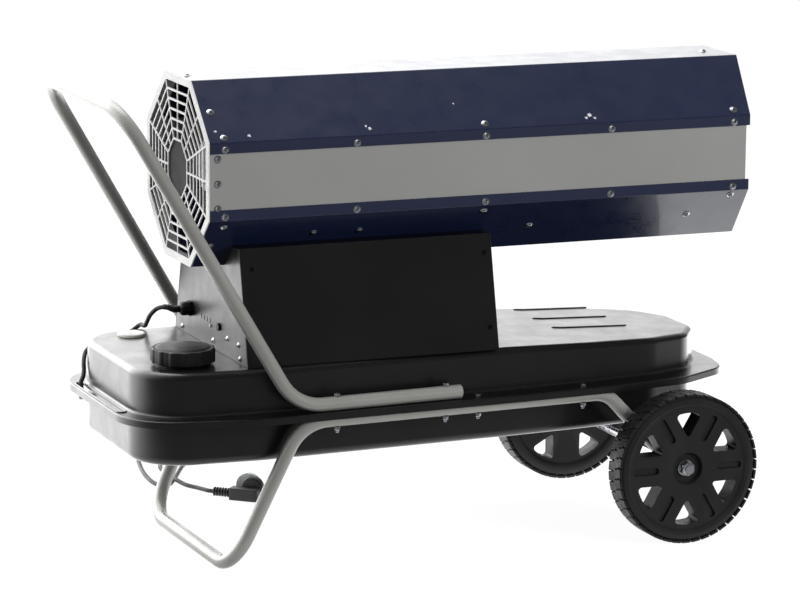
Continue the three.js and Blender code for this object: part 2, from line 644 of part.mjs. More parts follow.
function switchFrame() {
  const [halfY, halfX] = SWITCH.half;
  const [frameY, frameX] = SWITCH.frame;
  const { flange, depth } = SWITCH;
  const rim = block([-frameX, frameX], [-frameY, frameY], [SEAT, flange + SEAT]);
  const body = block([-halfX, halfX], [-halfY, halfY], [-depth, SEAT + 0.5]);
  const pocketX = ROCKER.half[1] + SEAT;
  const pocketY = Math.hypot(ROCKER.half[0], 3) + 0.5;
  const pocket = block([-pocketX, pocketX], [-pocketY, pocketY], [-depth + 2, flange + 2]);
  return cut(join(rim, body), pocket).applyMatrix4(switchPlace);
}

function switchRocker() {
  const [half, across] = ROCKER.half;
  const { crown, keel, tilt, pivot } = ROCKER;
  const outline = flat([[-half, -3], [-3.5, -keel], [3.5, -keel], [half, -3], [half, crown + 1],
    [0, crown - 0.4], [-half, crown + 1]]);
  const rocker = prismX(outline, -across, across);
  return rocker.rotateX(rad(tilt)).translate(0, 0, pivot).applyMatrix4(switchPlace);
}

function thermostatBody() {
  const { bushing, body, depth } = THERMOSTAT;
  const back = -SHEET - SEAT - 0.2;
  const box = block([-body, body], [-body, body], [back - depth, back]);
  const stem = rod(vec(0, 0, back - 1), vec(0, 0, 4), bushing, 16);
  return join(box, stem).applyMatrix4(thermostatPlace);
}

function thermostatKnob() {
  const { bushing, knob, knobHeight } = THERMOSTAT;
  const bore = bushing + RUNNING;
  const low = SEAT + 0.2;
  const skirt = turned([[bore, low], [knob, low], [knob, low + 3], [knob - 4, low + 5],
    [knob - 5, low + knobHeight], [0, low + knobHeight], [0, 5], [bore, 5]], 18);
  const pointer = block([-1.5, 1.5], [0, knob - 4.5], [low + knobHeight - 1, low + knobHeight + 1]);
  return join(skirt, pointer).applyMatrix4(thermostatPlace);
}

// The gland clamps the left plate between its body and its inner nut
function cableGland() {
  const { radius, standOut, threadRadius, bore, inside } = GLAND;
  const face = -SEAT;
  const back = SHEET + SEAT;
  return turnedX([[bore, -standOut], [radius - 3, -standOut], [radius, -standOut + 4],
    [radius, face], [threadRadius, face], [threadRadius, back], [radius, back],
    [radius, back + 5], [threadRadius, back + 5], [threadRadius, inside], [bore, inside]], 12)
    .translate(PEDESTAL.leftX, GLAND.y, GLAND.z);
}

// The reset switch sits behind the left plate and its button comes out through it
function resetSwitch() {
  const { y, z, radius, travel, inside } = RESET;
  const front = PEDESTAL.leftX + SHEET + SEAT;
  const box = block([front, front + inside + 12], [y - 9, y + 9], [z - 13, z + 13]);
  const well = rod(vec(front - 1, y, z), vec(front + inside + travel + SEAT, y, z),
    radius + SEAT, 16);
  return cut(box, well);
}

function resetButton() {
  const { y, z, radius, standOut, inside } = RESET;
  const front = PEDESTAL.leftX + SHEET + SEAT;
  return rod(vec(PEDESTAL.leftX - standOut, y, z), vec(front + inside, y, z), radius, 16);
}

function indicatorLamp() {
  const { y, z, radius, standOut, inside } = LAMP;
  const collar = PEDESTAL.leftX + SHEET + SEAT;
  return turnedX([[0, PEDESTAL.leftX - standOut], [radius, PEDESTAL.leftX - standOut],
    [radius, collar], [radius + 1.5, collar], [radius + 1.5, collar + inside],
    [0, collar + inside]], 12).translate(0, y, z);
}

function controlBoard() {
  const plateX = PEDESTAL.leftX + SHEET + SEAT;
  const boardX = plateX + BOARD.standoff;
  const board = block([boardX, boardX + BOARD.thickness], BOARD.y, BOARD.z);
  const posts = [];
  [BOARD.y[0] + 5, BOARD.y[1] - 5].forEach((y) => {
    [BOARD.z[0] + 5, BOARD.z[1] - 5].forEach((z) => {
      posts.push(rod(vec(plateX, y, z), vec(boardX + 0.5, y, z), 3, 8));
    });
  });
  const relayX = boardX + BOARD.thickness - 0.5;
  const relayY = BOARD.y[0] + RELAY.fromEdge;
  const relayZ = BOARD.z[0] + RELAY.low;
  const relay = block([relayX, relayX + RELAY.depth], [relayY, relayY + RELAY.width],
    [relayZ, relayZ + RELAY.height]);
  const endY = BOARD.y[1] - TERMINALS.fromEdge;
  const endZ = BOARD.z[0] + TERMINALS.low;
  const terminals = block([relayX, relayX + TERMINALS.depth], [endY - TERMINALS.width, endY],
    [endZ, endZ + TERMINALS.height]);
  return join(board, ...posts, relay, terminals);
}

function transformer() {
  const { x, y, height } = TRANSFORMER;
  const body = block(x, y, [BOX_BOTTOM, BOX_BOTTOM + height]);
  const feet = block([x[0] - 10, x[1] + 10], [y[0] + 10, y[1] - 10], [BOX_BOTTOM, BOX_BOTTOM + 3]);
  const towers = [-14, 14].map((offset) => rod(vec(x[0] + 16, offset, BOX_BOTTOM + height - 1),
    vec(x[0] + 16, offset, BOX_BOTTOM + height + 12), 6, 12));
  return join(body, feet, ...towers);
}

addPiece('cable_gland', cableGland(), BLACK_PLASTIC);
addPiece('reset_switch', resetSwitch(), BLACK_PLASTIC);
addPiece('reset_button', resetButton(), BLACK_PLASTIC);
addPiece('indicator_lamp', indicatorLamp(), WHITE_PLASTIC);
addPiece('control_board', controlBoard(), BOARD_GREEN);
addPiece('ignition_transformer', transformer(), DARK_BLANK);
addPiece('power_switch_frame', switchFrame(), BLACK_PLASTIC);
addPiece('power_switch_rocker', switchRocker(), BLACK_PLASTIC);
addPiece('thermostat_body', thermostatBody(), BLACK_PLASTIC);
addPiece('thermostat_knob', thermostatKnob(), BLACK_PLASTIC);

// ---------------------------------------------------------------- tank

// Half outline with rounded corners, starting and ending on the centre line at y = 0
function halfOutline(corners, segments = 2) {
  const first = vec(corners[0][0], 0, 0);
  const last = vec(corners[corners.length - 1][0], 0, 0);
  const stops = corners.map(([x, y, r]) => ({ at: vec(x, y, 0), bend: r }));
  return roundedRoute([{ at: first }, ...stops, { at: last }], segments).slice(1, -1);
}

function insetHalf(points, distance) {
  const mirror = points.map((p) => new THREE.Vector2(p.x, -p.y)).reverse();
  const loop = [...points.map((p) => new THREE.Vector2(p.x, p.y)), ...mirror];
  return inset(loop, -distance).slice(0, points.length).map((p) => vec(p.x, p.y, 0));
}

// The fall of the top grows with height above the flange
function fallAt(x, z) {
  const along = THREE.MathUtils.clamp((x - TOP_FALL.fromX) / (TOP_FALL.toX - TOP_FALL.fromX), 0, 1);
  const up = THREE.MathUtils.clamp((z - SEAM_Z - 12) / (TANK.topZ - SEAM_Z - 12), 0, 1);
  return TOP_FALL.drop * along * up;
}

// A closed skin through rings of equal point counts; each ring is {half, z} and is mirrored in y.
// The first and last rings are closed by straight rungs from side to side.
function rungSkin(rings) {
  const count = rings[0].half.length;
  const positions = [];
  rings.forEach(({ half, z }) => {
    half.forEach((p) => positions.push(p.x, p.y, z - fallAt(p.x, z)));
    half.forEach((_, i) => {
      const p = half[count - 1 - i];
      positions.push(p.x, -p.y, z - fallAt(p.x, z));
    });
  });
  const size = 2 * count;
  const index = [];
  for (let ring = 0; ring < rings.length - 1; ring += 1) {
    for (let i = 0; i < size; i += 1) {
      const a = ring * size + i;
      const b = ring * size + ((i + 1) % size);
      index.push(a, b, b + size, a, b + size, a + size);
    }
  }
  const rungs = (start, flip) => {
    for (let i = 0; i < count - 1; i += 1) {
      const a = start + i;
      const b = start + i + 1;
      const c = start + size - 2 - i;
      const d = start + size - 1 - i;
      const faces = flip ? [a, c, b, a, d, c] : [a, b, c, a, c, d];
      index.push(...faces);
    }
  };
  rungs(0, true);
  rungs((rings.length - 1) * size, false);
  const geometry = new THREE.BufferGeometry();
  geometry.setAttribute('position', new THREE.Float32BufferAttribute(positions, 3));
  geometry.setIndex(index);
  return outward(geometry);
}

// Turns every face round if the skin was wound inside out
function outward(geometry) {
  const p = geometry.attributes.position;
  const index = geometry.index;
  let volume = 0;
  const corner = (i) => vec(p.getX(index.getX(i)), p.getY(index.getX(i)), p.getZ(index.getX(i)));
  for (let i = 0; i < index.count; i += 3) {
    volume += corner(i).dot(corner(i + 1).cross(corner(i + 2)));
  }
  if (volume < 0) {
    for (let i = 0; i < index.count; i += 3) {
      const keep = index.getX(i);
      index.setX(i, index.getX(i + 1));
      index.setX(i + 1, keep);
    }
  }
  return geometry;
}

const FLANGE_TOP = SEAM_Z + SEAT / 2 + SHEET;
const FLANGE_BOTTOM = SEAM_Z - SEAT / 2 - SHEET;

// Rings of one pressed half: walls rise or fall from the flange to a rounded edge.
// shift moves the whole skin inwards by the sheet thickness
function pressedRings(side, shift) {
  const wall = halfOutline(WALL_CORNERS);
  const reach = side > 0 ? TANK.topZ : TANK.bottomZ;
  const edge = side > 0 ? TANK.edge : TANK.bottomEdge;
  const start = SEAM_Z + side * SEAT / 2;
  const end = reach - side * shift;
  const rings = [{ half: insetHalf(wall, shift), z: start - side * (shift ? 1 : 0) }];
  const low = start + side * 4;
  rings.push({ half: insetHalf(wall, shift + 0.5), z: low });
  for (let i = 0; i <= 3; i += 1) {
    const angle = (i / 3) * (Math.PI / 2);
    const radius = edge - shift;
    const inwards = shift + TANK.draft + radius * (1 - Math.cos(angle));
    rings.push({ half: insetHalf(wall, inwards), z: end - side * radius * (1 - Math.sin(angle)) });
  }
  return rings;
}

const loopOf = (half) => [...half, ...half.map((p) => vec(p.x, -p.y, 0)).reverse()]
  .map((p) => new THREE.Vector2(p.x, p.y)).reverse();

// The flat flange, with a lip turned down outside the stand tubes on the upper half
function flangePlate(side) {
  const flange = halfOutline(FLANGE_CORNERS);
  const wallHole = loopOf(insetHalf(halfOutline(WALL_CORNERS), 3));
  const start = SEAM_Z + side * SEAT / 2;
  const other = start + side * SHEET;
  const outline = side > 0 ? flange : insetHalf(flange, SHEET + SEAT);
  const plate = prismZ(loopOf(outline), Math.min(start, other), Math.max(start, other), [wallHole]);
  if (side < 0) return plate;
  const lip = prismZ(loopOf(flange), FLANGE_TOP - TANK.lip - SHEET, FLANGE_TOP - 0.2,
    [loopOf(insetHalf(flange, SHEET))]);
  return join(plate, lip);
}

function handSlot() {
  const { x, half, width } = HAND_SLOT;
  const r = width / 2;
  const outline = [];
  for (let i = 0; i <= 6; i += 1) {
    const angle = (i / 6) * Math.PI;
    outline.push(new THREE.Vector2(x + r * Math.cos(angle), half - r + r * Math.sin(angle)));
  }
  const lower = outline.map((p) => new THREE.Vector2(2 * x - p.x, -p.y));
  return prismZ([...outline, ...lower], SEAM_Z - 20, SEAM_Z + 20);
}

const frameHalfAt = (x) => {
  const t = (x - HANDLE.cornerX) / (HANDLE.endX - HANDLE.cornerX);
  return HANDLE.cornerHalf + (HANDLE_END_HALF - HANDLE.cornerHalf) * t;
};
const standHalfAt = (x) => {
  if (x <= HANDLE.endX) return frameHalfAt(x);
  const t = (x - HANDLE.endX) / (STAND.kneeX - HANDLE.endX);
  return HANDLE_END_HALF + (STAND.kneeHalf - HANDLE_END_HALF) * t;
};
const BOLT_PLACES = [...HANDLE_BOLT_XS.map((x) => ({ x, handle: true })),
  ...STAND_BOLT_XS.map((x) => ({ x, handle: false }))];

function boltHoles() {
  const holes = [];
  BOLT_PLACES.forEach(({ x }) => {
    [-1, 1].forEach((hand) => {
      const y = hand * standHalfAt(x);
      holes.push(rod(vec(x, y, SEAM_Z - 60), vec(x, y, SEAM_Z + 60), BOLT.holeRadius, 8));
    });
  });
  return holes;
}

function topRibs() {
  return RIB.ys.map((y) => {
    const [x0, x1] = RIB.xs;
    const w = RIB.width;
    const outline = flat([[x0 + w, y - w / 2], [x1, y - w / 2], [x1 + w / 2, y], [x1, y + w / 2],
      [x0 - w, y + w / 2]]);
    const rib = prismZ(outline, 0, 1);
    const p = rib.attributes.position;
    for (let i = 0; i < p.count; i += 1) {
      const top = TANK.topZ - fallAt(p.getX(i), TANK.topZ);
      p.setZ(i, p.getZ(i) > 0.5 ? top + RIB.rise : top - SHEET / 2);
    }
    return rib;
  });
}

function tankUpper() {
  const outside = solidOf(rungSkin(pressedRings(1, 0))).add(solidOf(flangePlate(1)));
  const ribbed = topRibs().reduce((solid, rib) => solid.add(solidOf(rib)), outside);
  const shell = ribbed.subtract(solidOf(rungSkin(pressedRings(1, SHEET))));
  const post = (place, radius) => rod(vec(place.x, place.y, TANK.topZ - 20),
    vec(place.x, place.y, TANK.topZ + 20), radius, 20);
  const cuts = [handSlot(), ...boltHoles(), post(FILLER, FILLER.bore + SEAT + 0.2),
    post(GAUGE, GAUGE.boreRadius + SEAT), post(PICKUP, PICKUP.radius + 1)];
  return geometryOf(cuts.reduce((solid, tool) => solid.subtract(solidOf(tool)), shell));
}

function tankLower() {
  const outside = solidOf(rungSkin(pressedRings(-1, 0))).add(solidOf(flangePlate(-1)));
  const shell = outside.subtract(solidOf(rungSkin(pressedRings(-1, SHEET))));
  return geometryOf([handSlot(), ...boltHoles()]
    .reduce((solid, tool) => solid.subtract(solidOf(tool)), shell));
}

addPiece('tank_upper_shell', tankUpper(), BLACK_PAINT);
addPiece('tank_lower_shell', tankLower(), BLACK_PAINT);

// ---------------------------------------------------------------- filler, gauge, pick-up

// A flanged neck standing in the tank's hole; the strainer hangs in it by its rim
function fillerNeck() {
  const { bore, neckRadius, rise, flangeRadius } = FILLER;
  const seat = TANK_TOP + SEAT;
  return turned([[bore - SHEET, TANK_TOP - 8], [bore, TANK_TOP - 8], [bore, seat], [flangeRadius, seat],
    [flangeRadius, seat + 2], [neckRadius, seat + 2], [neckRadius, seat + rise],
    [bore - SHEET, seat + rise]], 18).translate(FILLER.x, FILLER.y, 0);
}

function fillerStrainer() {
  const { radius, depth, wall } = STRAINER;
  const rimZ = TANK_TOP + SEAT + FILLER.rise + SEAT;
  return turned([[0, rimZ - depth], [radius, rimZ - depth], [radius, rimZ], [FILLER.bore + 3, rimZ],
    [FILLER.bore + 3, rimZ + 1], [radius - wall, rimZ + 1], [radius - wall, rimZ - depth + wall],
    [0, rimZ - depth + wall]], 14).translate(FILLER.x, FILLER.y, 0);
}

const GASKET_Z = TANK_TOP + SEAT + FILLER.rise + SEAT + 1 + SEAT;
const GASKET = 2;

function capGasket() {
  return turned([[FILLER.bore - 2, GASKET_Z], [FILLER.neckRadius + 0.5, GASKET_Z],
    [FILLER.neckRadius + 0.5, GASKET_Z + GASKET], [FILLER.bore - 2, GASKET_Z + GASKET]], 18)
    .translate(FILLER.x, FILLER.y, 0);
}

function fuelCap() {
  const { radius, flat: dent, bottomRise, skirt, dome, ribs, wall } = CAP;
  const low = TANK_TOP + bottomRise;
  const high = low + skirt;
  const outline = [];
  for (let i = 0; i < ribs; i += 1) {
    const angle = (i * 2 * Math.PI) / ribs;
    const step = (2 * Math.PI) / ribs;
    [[-0.14, radius], [0.14, radius], [0.24, radius - dent], [0.76, radius - dent]].forEach(([t, r]) => {
      const a = angle + t * step;
      outline.push(new THREE.Vector2(r * Math.cos(a), r * Math.sin(a)));
    });
  }
  const body = prismZ(outline, low, high);
  const top = turned([[0, high - 1], [radius - dent - 1, high - 1], [radius - dent - 2, high + 1],
    [radius * 0.7, high + dome * 0.7], [radius * 0.35, high + dome * 0.95], [0, high + dome]], 18);
  const threadRadius = FILLER.neckRadius + SEAT + 0.7;
  const flangeRoom = FILLER.flangeRadius + 1;
  const hollow = turned([[0, low - 1], [flangeRoom, low - 1], [flangeRoom, low + 2],
    [threadRadius + 0.5, low + 4], [threadRadius + 0.5, GASKET_Z + GASKET + SEAT],
    [0, GASKET_Z + GASKET + SEAT]], 18);
  const bodyHeight = Math.max(high - 1, GASKET_Z + GASKET + wall);
  const crown = turned([[0, high - 2], [radius - dent - 3, high - 2], [radius - dent - 3, bodyHeight],
    [0, bodyHeight]], 24);
  return cut(join(body, top, crown), hollow).translate(FILLER.x, FILLER.y, 0);
}

// Float gauge: a dial on the tank top with a stem that carries the float arm's pivot
const FLOAT_PIVOT_Z = TANK_TOP - GAUGE.stem + 6;

function gaugeHousing() {
  const { radius, rise, boreRadius, stem, stemRadius } = GAUGE;
  const seat = TANK_TOP + SEAT;
  const body = turned([[0, TANK_TOP - stem], [stemRadius, TANK_TOP - stem],
    [stemRadius, TANK_TOP - SHEET - 2], [boreRadius, TANK_TOP - SHEET - 2], [boreRadius, seat],
    [radius, seat], [radius, seat + rise], [radius - 2.5, seat + rise], [radius - 2.5, seat + 1.4],
    [0, seat + 1.4]], 18);
  const slot = block([-20, 20], [-FLOAT.armRadius - SEAT, FLOAT.armRadius + SEAT],
    [-GAUGE.stem - 1, -GAUGE.stem + 14]).translate(0, 0, TANK_TOP);
  return cut(body, slot).translate(GAUGE.x, GAUGE.y, 0);
}

function gaugePointer() {
  const base = TANK_TOP + SEAT + 1.4 + SEAT;
  const hub = turned([[0, base], [3, base], [3, base + 1.2], [0, base + 1.2]], 12);
  const hand = block([0, 13], [-0.9, 0.9], [base, base + 0.8]);
  return join(hub, hand).translate(GAUGE.x, GAUGE.y, 0);
}

// The arm hangs down with the tank empty and carries a round float along its end
function floatArm() {
  const { arm, armRadius, radius, length, dip } = FLOAT;
  const end = vec(arm * Math.cos(rad(dip)), 0, -arm * Math.sin(rad(dip)));
  const way = end.clone().normalize();
  const wire = rod(vec(0, 0, 0).addScaledVector(way, -3), end, armRadius, 6);
  const floatBody = rod(end.clone().addScaledVector(way, -2), end.clone().addScaledVector(way, length),
    radius, 14);
  return join(wire, floatBody).translate(GAUGE.x, GAUGE.y, FLOAT_PIVOT_Z);
}

function suctionPipe() {
  const { radius, bottomZ, topZ, strainerRadius } = PICKUP;
  const seat = TANK_TOP + SEAT;
  return turned([[0, bottomZ], [strainerRadius, bottomZ], [strainerRadius, bottomZ + 24],
    [radius, bottomZ + 28], [radius, seat], [radius + 8, seat], [radius + 8, seat + 3],
    [radius + 4, seat + 3], [radius + 4, topZ], [0, topZ]], 12).translate(PICKUP.x, PICKUP.y, 0);
}

function fuelLine() {
  const end = BURNER.adaptorRearX - SEAT;
  return sweep(roundedRoute([
    { at: vec(PICKUP.x, PICKUP.y, PICKUP.topZ + SEAT) },
    { at: vec(PICKUP.x, PICKUP.y, BARREL.axisZ), bend: FUEL_LINE.bend * 0.8 },
    { at: vec(end, 0, BARREL.axisZ) },
  ], 4), FUEL_LINE.radius, 8);
}

addPiece('filler_neck', fillerNeck(), ZINC);
addPiece('filler_strainer', fillerStrainer(), WHITE_PLASTIC);
addPiece('cap_gasket', capGasket(), RUBBER);
addPiece('fuel_cap', fuelCap(), BLACK_PLASTIC);
addPiece('gauge_housing', gaugeHousing(), WHITE_PLASTIC);
addPiece('gauge_pointer', gaugePointer(), finish(0xb02020, 0.5, 0));
addPiece('float_arm', floatArm(), BLACK_PLASTIC);
addPiece('suction_pipe', suctionPipe(), BRASS);
addPiece('fuel_line', fuelLine(), COPPER);

// ---------------------------------------------------------------- tube frame and its bolts

const HANDLE_RUN_Z = FLANGE_TOP + SEAT + TUBE.radius;
const STAND_RUN_Z = FLANGE_BOTTOM - SEAT - TUBE.radius;
const GROUND_TUBE_Z = TUBE.radius;
const AXLE_Z = WHEEL.radius;

function bothSides(oneSide) {
  const far = oneSide.map(({ at, bend }) => ({ at: vec(at.x, -at.y, at.z), bend }));
  return [...oneSide, ...far.reverse()];
}

function hollowTube(stops) {
  const route = roundedRoute(stops, 3);
  return sweep(route, TUBE.radius, TUBE.sides, circle(TUBE.boreRadius, TUBE.boreSides));
}

function handleTube() {
  const { topX, topZ, topHalf, cornerX, cornerHalf, endX } = HANDLE;
  const tube = hollowTube(bothSides([
    { at: vec(endX, -HANDLE_END_HALF, HANDLE_RUN_Z) },
    { at: vec(cornerX, -cornerHalf, HANDLE_RUN_Z), bend: HANDLE_BENDS.bottom },
    { at: vec(topX, -topHalf, topZ), bend: HANDLE_BENDS.top },
  ]));
  return cut(tube, ...boltHoles());
}

function standTube() {
  const { footX, footHalf, cornerX, kneeX, kneeHalf } = STAND;
  const down = vec(AXLE.x - kneeX, 0, AXLE_Z - STAND_RUN_Z).normalize();
  const end = vec(AXLE.x, -kneeHalf, AXLE_Z).addScaledVector(down, AXLE.pastEnd);
  const tube = hollowTube(bothSides([
    { at: end },
    { at: vec(kneeX, -kneeHalf, STAND_RUN_Z), bend: STAND_BENDS.knee },
    { at: vec(cornerX, -frameHalfAt(cornerX), STAND_RUN_Z), bend: STAND_BENDS.corner },
    { at: vec(footX, -footHalf, GROUND_TUBE_Z), bend: STAND_BENDS.foot },
  ]));
  const axleHole = rod(vec(AXLE.x, -kneeHalf - 30, AXLE_Z), vec(AXLE.x, kneeHalf + 30, AXLE_Z),
    AXLE.radius + SEAT, 16);
  return cut(tube, axleHole, ...boltHoles());
}

// Screw, washers and nut of one frame bolt, the head on top
function frameBolt(x, hand, throughHandle) {
  const top = throughHandle ? HANDLE_RUN_Z + TUBE.radius + SEAT : FLANGE_TOP + SEAT;
  const bottom = STAND_RUN_Z - TUBE.radius - SEAT;
  const { radius, headAcross, headHeight, nut, tail } = BOLT;
  const hex = headAcross / 2 / Math.cos(Math.PI / 6);
  const place = vec(x, hand * standHalfAt(x), 0);
  const shank = rod(vec(0, 0, bottom - tail), vec(0, 0, top + 1), radius, 8);
  const head = prismZ(circle(hex, 6), top, top + headHeight);
  const lower = prismZ(circle(hex, 6), bottom - nut, bottom);
  return join(shank, head, lower).translate(place.x, place.y, 0);
}

addPiece('handle_tube', handleTube(), TUBE_GREY);
addPiece('stand_tube', standTube(), TUBE_GREY);
BOLT_PLACES.forEach(({ x, handle }, i) => {
  addPiece(`frame_bolt_near_${i + 1}`, frameBolt(x, -1, handle), ZINC);
  addPiece(`frame_bolt_far_${i + 1}`, frameBolt(x, 1, handle), ZINC);
});

// ---------------------------------------------------------------- wheels and axle

// A wheel about +Z, its outer face upwards at WHEEL.width
function wheelAboutZ() {
  const { radius, width, hubInner, recessRadius, recess } = WHEEL;
  const { inner, web, face, spokes, spokeHalf, windowRadius } = WHEEL_RIM;
  const { bead, shoulder, shoulderWidth, hubOuter } = WHEEL_EDGE;
  const bore = AXLE.radius + RUNNING;
  const body = turned([[bore, -hubInner], [hubOuter - 1, -hubInner], [hubOuter, web],
    [inner - 2, web], [inner + 2, 1], [bead, 0], [radius - shoulder, shoulder],
    [radius, shoulderWidth], [radius, width - shoulderWidth], [radius - shoulder, width - shoulder],
    [bead, width], [inner + 3, face + 2], [inner, face], [recessRadius, face],
    [recessRadius - 1, width - recess], [bore, width - recess]], 24);
  const cuts = [];
  const spread = Math.PI / spokes;
  const apex = spokeHalf / Math.sin(spread);
  const edge = spread - Math.asin(spokeHalf / windowRadius);
  for (let i = 0; i < spokes; i += 1) {
    const turn = (i * 2 * Math.PI) / spokes;
    const outline = [];
    for (let k = -2; k <= 2; k += 1) {
      const angle = (k / 2) * edge * 0.93;
      const r = Math.abs(k) === 2 ? windowRadius - 3 : windowRadius;
      outline.push(new THREE.Vector2(r * Math.cos(angle), r * Math.sin(angle)));
    }
    outline.push(new THREE.Vector2(apex + 4, 1.8), new THREE.Vector2(apex + 4, -1.8));
    const window = prismZ(outline, -hubInner - 1, width + 1).rotateZ(turn + spread);
    const { from, to, half, depth } = WHEEL_GROOVE;
    const groove = block([from, to], [-half, half], [face - depth, width + 1]).rotateZ(turn);
    cuts.push(window, groove);
  }
  return cut(body, ...cuts);
}

function placeWheel(hand) {
  const inner = WHEEL.outerY - WHEEL.width;
  return wheelAboutZ().rotateZ(rad(hand > 0 ? FAR_WHEEL_TURN : 0)).rotateX(-hand * Math.PI / 2)
    .translate(AXLE.x, hand * inner, AXLE_Z);
}

const HUB_FACE = WHEEL.outerY - WHEEL.recess;

// Washer and lock nut together, screwed on the axle's end against the hub
function axleNut(hand) {
  const { across, height, collarRadius, washerRadius, washer } = AXLE_NUT;
  const bore = AXLE.radius + SEAT;
  const low = HUB_FACE + SEAT;
  const disc = turned([[bore, low], [washerRadius, low], [washerRadius, low + washer],
    [bore, low + washer]], 12);
  const hex = across / 2 / Math.cos(Math.PI / 6);
  const nut = prismZ(circle(hex, 6), low + washer - 0.2, low + washer + height,
    [circle(bore, 12, 0.5)]);
  const collar = turned([[bore, low + washer + height - 1], [collarRadius, low + washer + height - 1],
    [collarRadius, low + washer + height + 2.5], [bore, low + washer + height + 2.5]], 12);
  return join(disc, nut, collar).rotateX(-hand * Math.PI / 2).translate(AXLE.x, 0, AXLE_Z);
}

const axleEnd = HUB_FACE + SEAT + AXLE_NUT.washer + AXLE_NUT.height + AXLE.standOut;
addPiece('axle', rod(vec(AXLE.x, -axleEnd, AXLE_Z), vec(AXLE.x, axleEnd, AXLE_Z), AXLE.radius, 16), ZINC);
addPiece('wheel_near', placeWheel(-1), BLACK_PLASTIC);
addPiece('wheel_far', placeWheel(1), BLACK_PLASTIC);
addPiece('axle_nut_near', axleNut(-1), ZINC);
addPiece('axle_nut_far', axleNut(1), ZINC);

// ---------------------------------------------------------------- mains cord and plug

// Hand-laid route from the gland, over the tank's far edge, through the hand slot in the flange
// and down to a loose loop on the ground, ending at the plug
const CORD_ROUTE = [
  [-335.5, 88.5, 335], [-344.5, 100.5, 331.5], [-350.5, 115, 320], [-350.5, 132, 306],
  [-348.5, 148, 297], [-351, 161.5, 295.8], [-361, 170.8, 285.5], [-379, 170.5, 280], [-401, 167, 279],
  [-425, 152.5, 277], [-434.5, 142.4, 272.5], [-444.6, 129.8, 268.3], [-450.2, 119.2, 262.7],
  [-453.5, 111, 255.7], [-455.4, 104.2, 247.7], [-458.5, 98, 240.4], [-464.5, 91, 232],
  [-464.5, 87, 224], [-463.5, 90, 216], [-461, 100, 209.5], [-456, 117, 205], [-447, 141, 200],
  [-431, 172, 190], [-409, 205, 172], [-385, 245, 147], [-358, 290, 118], [-330, 340, 90],
  [-304, 392, 63], [-280, 440, 41], [-254, 486, 27], [-224, 524, 18], [-192, 545, 11],
  [-165, 538, 6], [-156, 512, 3.7], [-162.7, 489.8, 3.6], [-187.3, 449.6, 3.6], [-210, 406, 3.6],
  [-230, 367, 3.6], [-246.7, 345.4, 3.6], [-258, 346.2, 3.6], [-262.1, 367.8, 3.6],
  [-260.4, 401.1, 3.6], [-254.6, 440.1, 3.6], [-245.7, 481.3, 3.6], [-235.9, 516.3, 3.6],
  [-221.7, 539.6, 3.6], [-206.8, 540.6, 3.6], [-198, 521.7, 3.6], [-205, 491, 3.6],
  [-218.3, 464.3, 3.6], [-225, 436, 4.8], [-229, 404, 8.2], [-233, 372, 11.2], [-233, 342, 11],
  [-228, 314, 9.6], [-219, 287, 10.6],
];

const plugAway = vec(Math.cos(rad(PLUG.turn)), Math.sin(rad(PLUG.turn)), 0);
const plugMouth = vec(PLUG.x, PLUG.y, PLUG.z).addScaledVector(plugAway, -PLUG.relief);

function mainsCord() {
  const end = plugMouth.clone().addScaledVector(plugAway, -SEAT);
  const lastStraight = end.clone().addScaledVector(plugAway, -CORD_STRAIGHT);
  const start = vec(PEDESTAL.leftX - GLAND.standOut - SEAT, GLAND.y, GLAND.z);
  const firstStraight = start.clone().add(vec(-CORD_STRAIGHT, 0, 0));
  const route = CORD_ROUTE.map(([x, y, z]) => vec(x, y, z));
  const curve = new THREE.CatmullRomCurve3([firstStraight, ...route, lastStraight], false, 'centripetal');
  curve.arcLengthDivisions = 600;
  const points = [start, ...curve.getSpacedPoints(CORD_STEPS - 2), end];
  return sweep(points, CORD_RADIUS, 8);
}

// Angled plug: ribbed relief, block body and a round head across the block, with a pin cover
function mainsPlug() {
  const { width, length, relief } = PLUG;
  const ribs = [];
  const { count, pitch, width: ribWidth, radius: ribRadius, neck: neckRadius } = PLUG_RIBS;
  for (let i = 0; i < count; i += 1) {
    const from = -relief + 1 + i * pitch;
    ribs.push([neckRadius, from], [ribRadius, from], [ribRadius, from + ribWidth],
      [neckRadius, from + ribWidth]);
  }
  const profile = [[0, -relief], [neckRadius, -relief], ...ribs, [neckRadius, 0.5], [0, 0.5]];
  const neck = turnedX(profile, 10);
  const body = block([0, length], [-width / 2, width / 2], [-width / 2, width / 2]);
  const { radius, depth, along, centreZ } = PLUG_HEAD;
  const face = width / 2;
  const up = centreZ - PLUG.z;
  const head = rod(vec(along, face - 4, up), vec(along, face + depth, up), radius, 20);
  const cover = rod(vec(PLUG_COVER.along, face + PLUG_COVER.from, up),
    vec(PLUG_COVER.along, face + PLUG_COVER.depth, up), PLUG_COVER.radius, 20);
  const plug = join(neck, body, head, cover);
  return plug.rotateZ(rad(PLUG.turn)).translate(PLUG.x, PLUG.y, PLUG.z);
}

addPiece('mains_cord', mainsCord(), RUBBER);
addPiece('mains_plug', mainsPlug(), BLACK_PLASTIC);

export default heater;
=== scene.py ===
"""Looks of a wheeled diesel forced air heater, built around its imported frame.

The frame gives every CAD node in metres, +Z up, with the intake and the push handle at -X, the outlet
and the wheels at +X, and the plain pedestal cover at -Y. Lengths in this file are written in
millimetres, and each piece's mesh is turned into metres as it is finished.
"""

import math

import bmesh
import bpy
from mathutils import Matrix, Vector


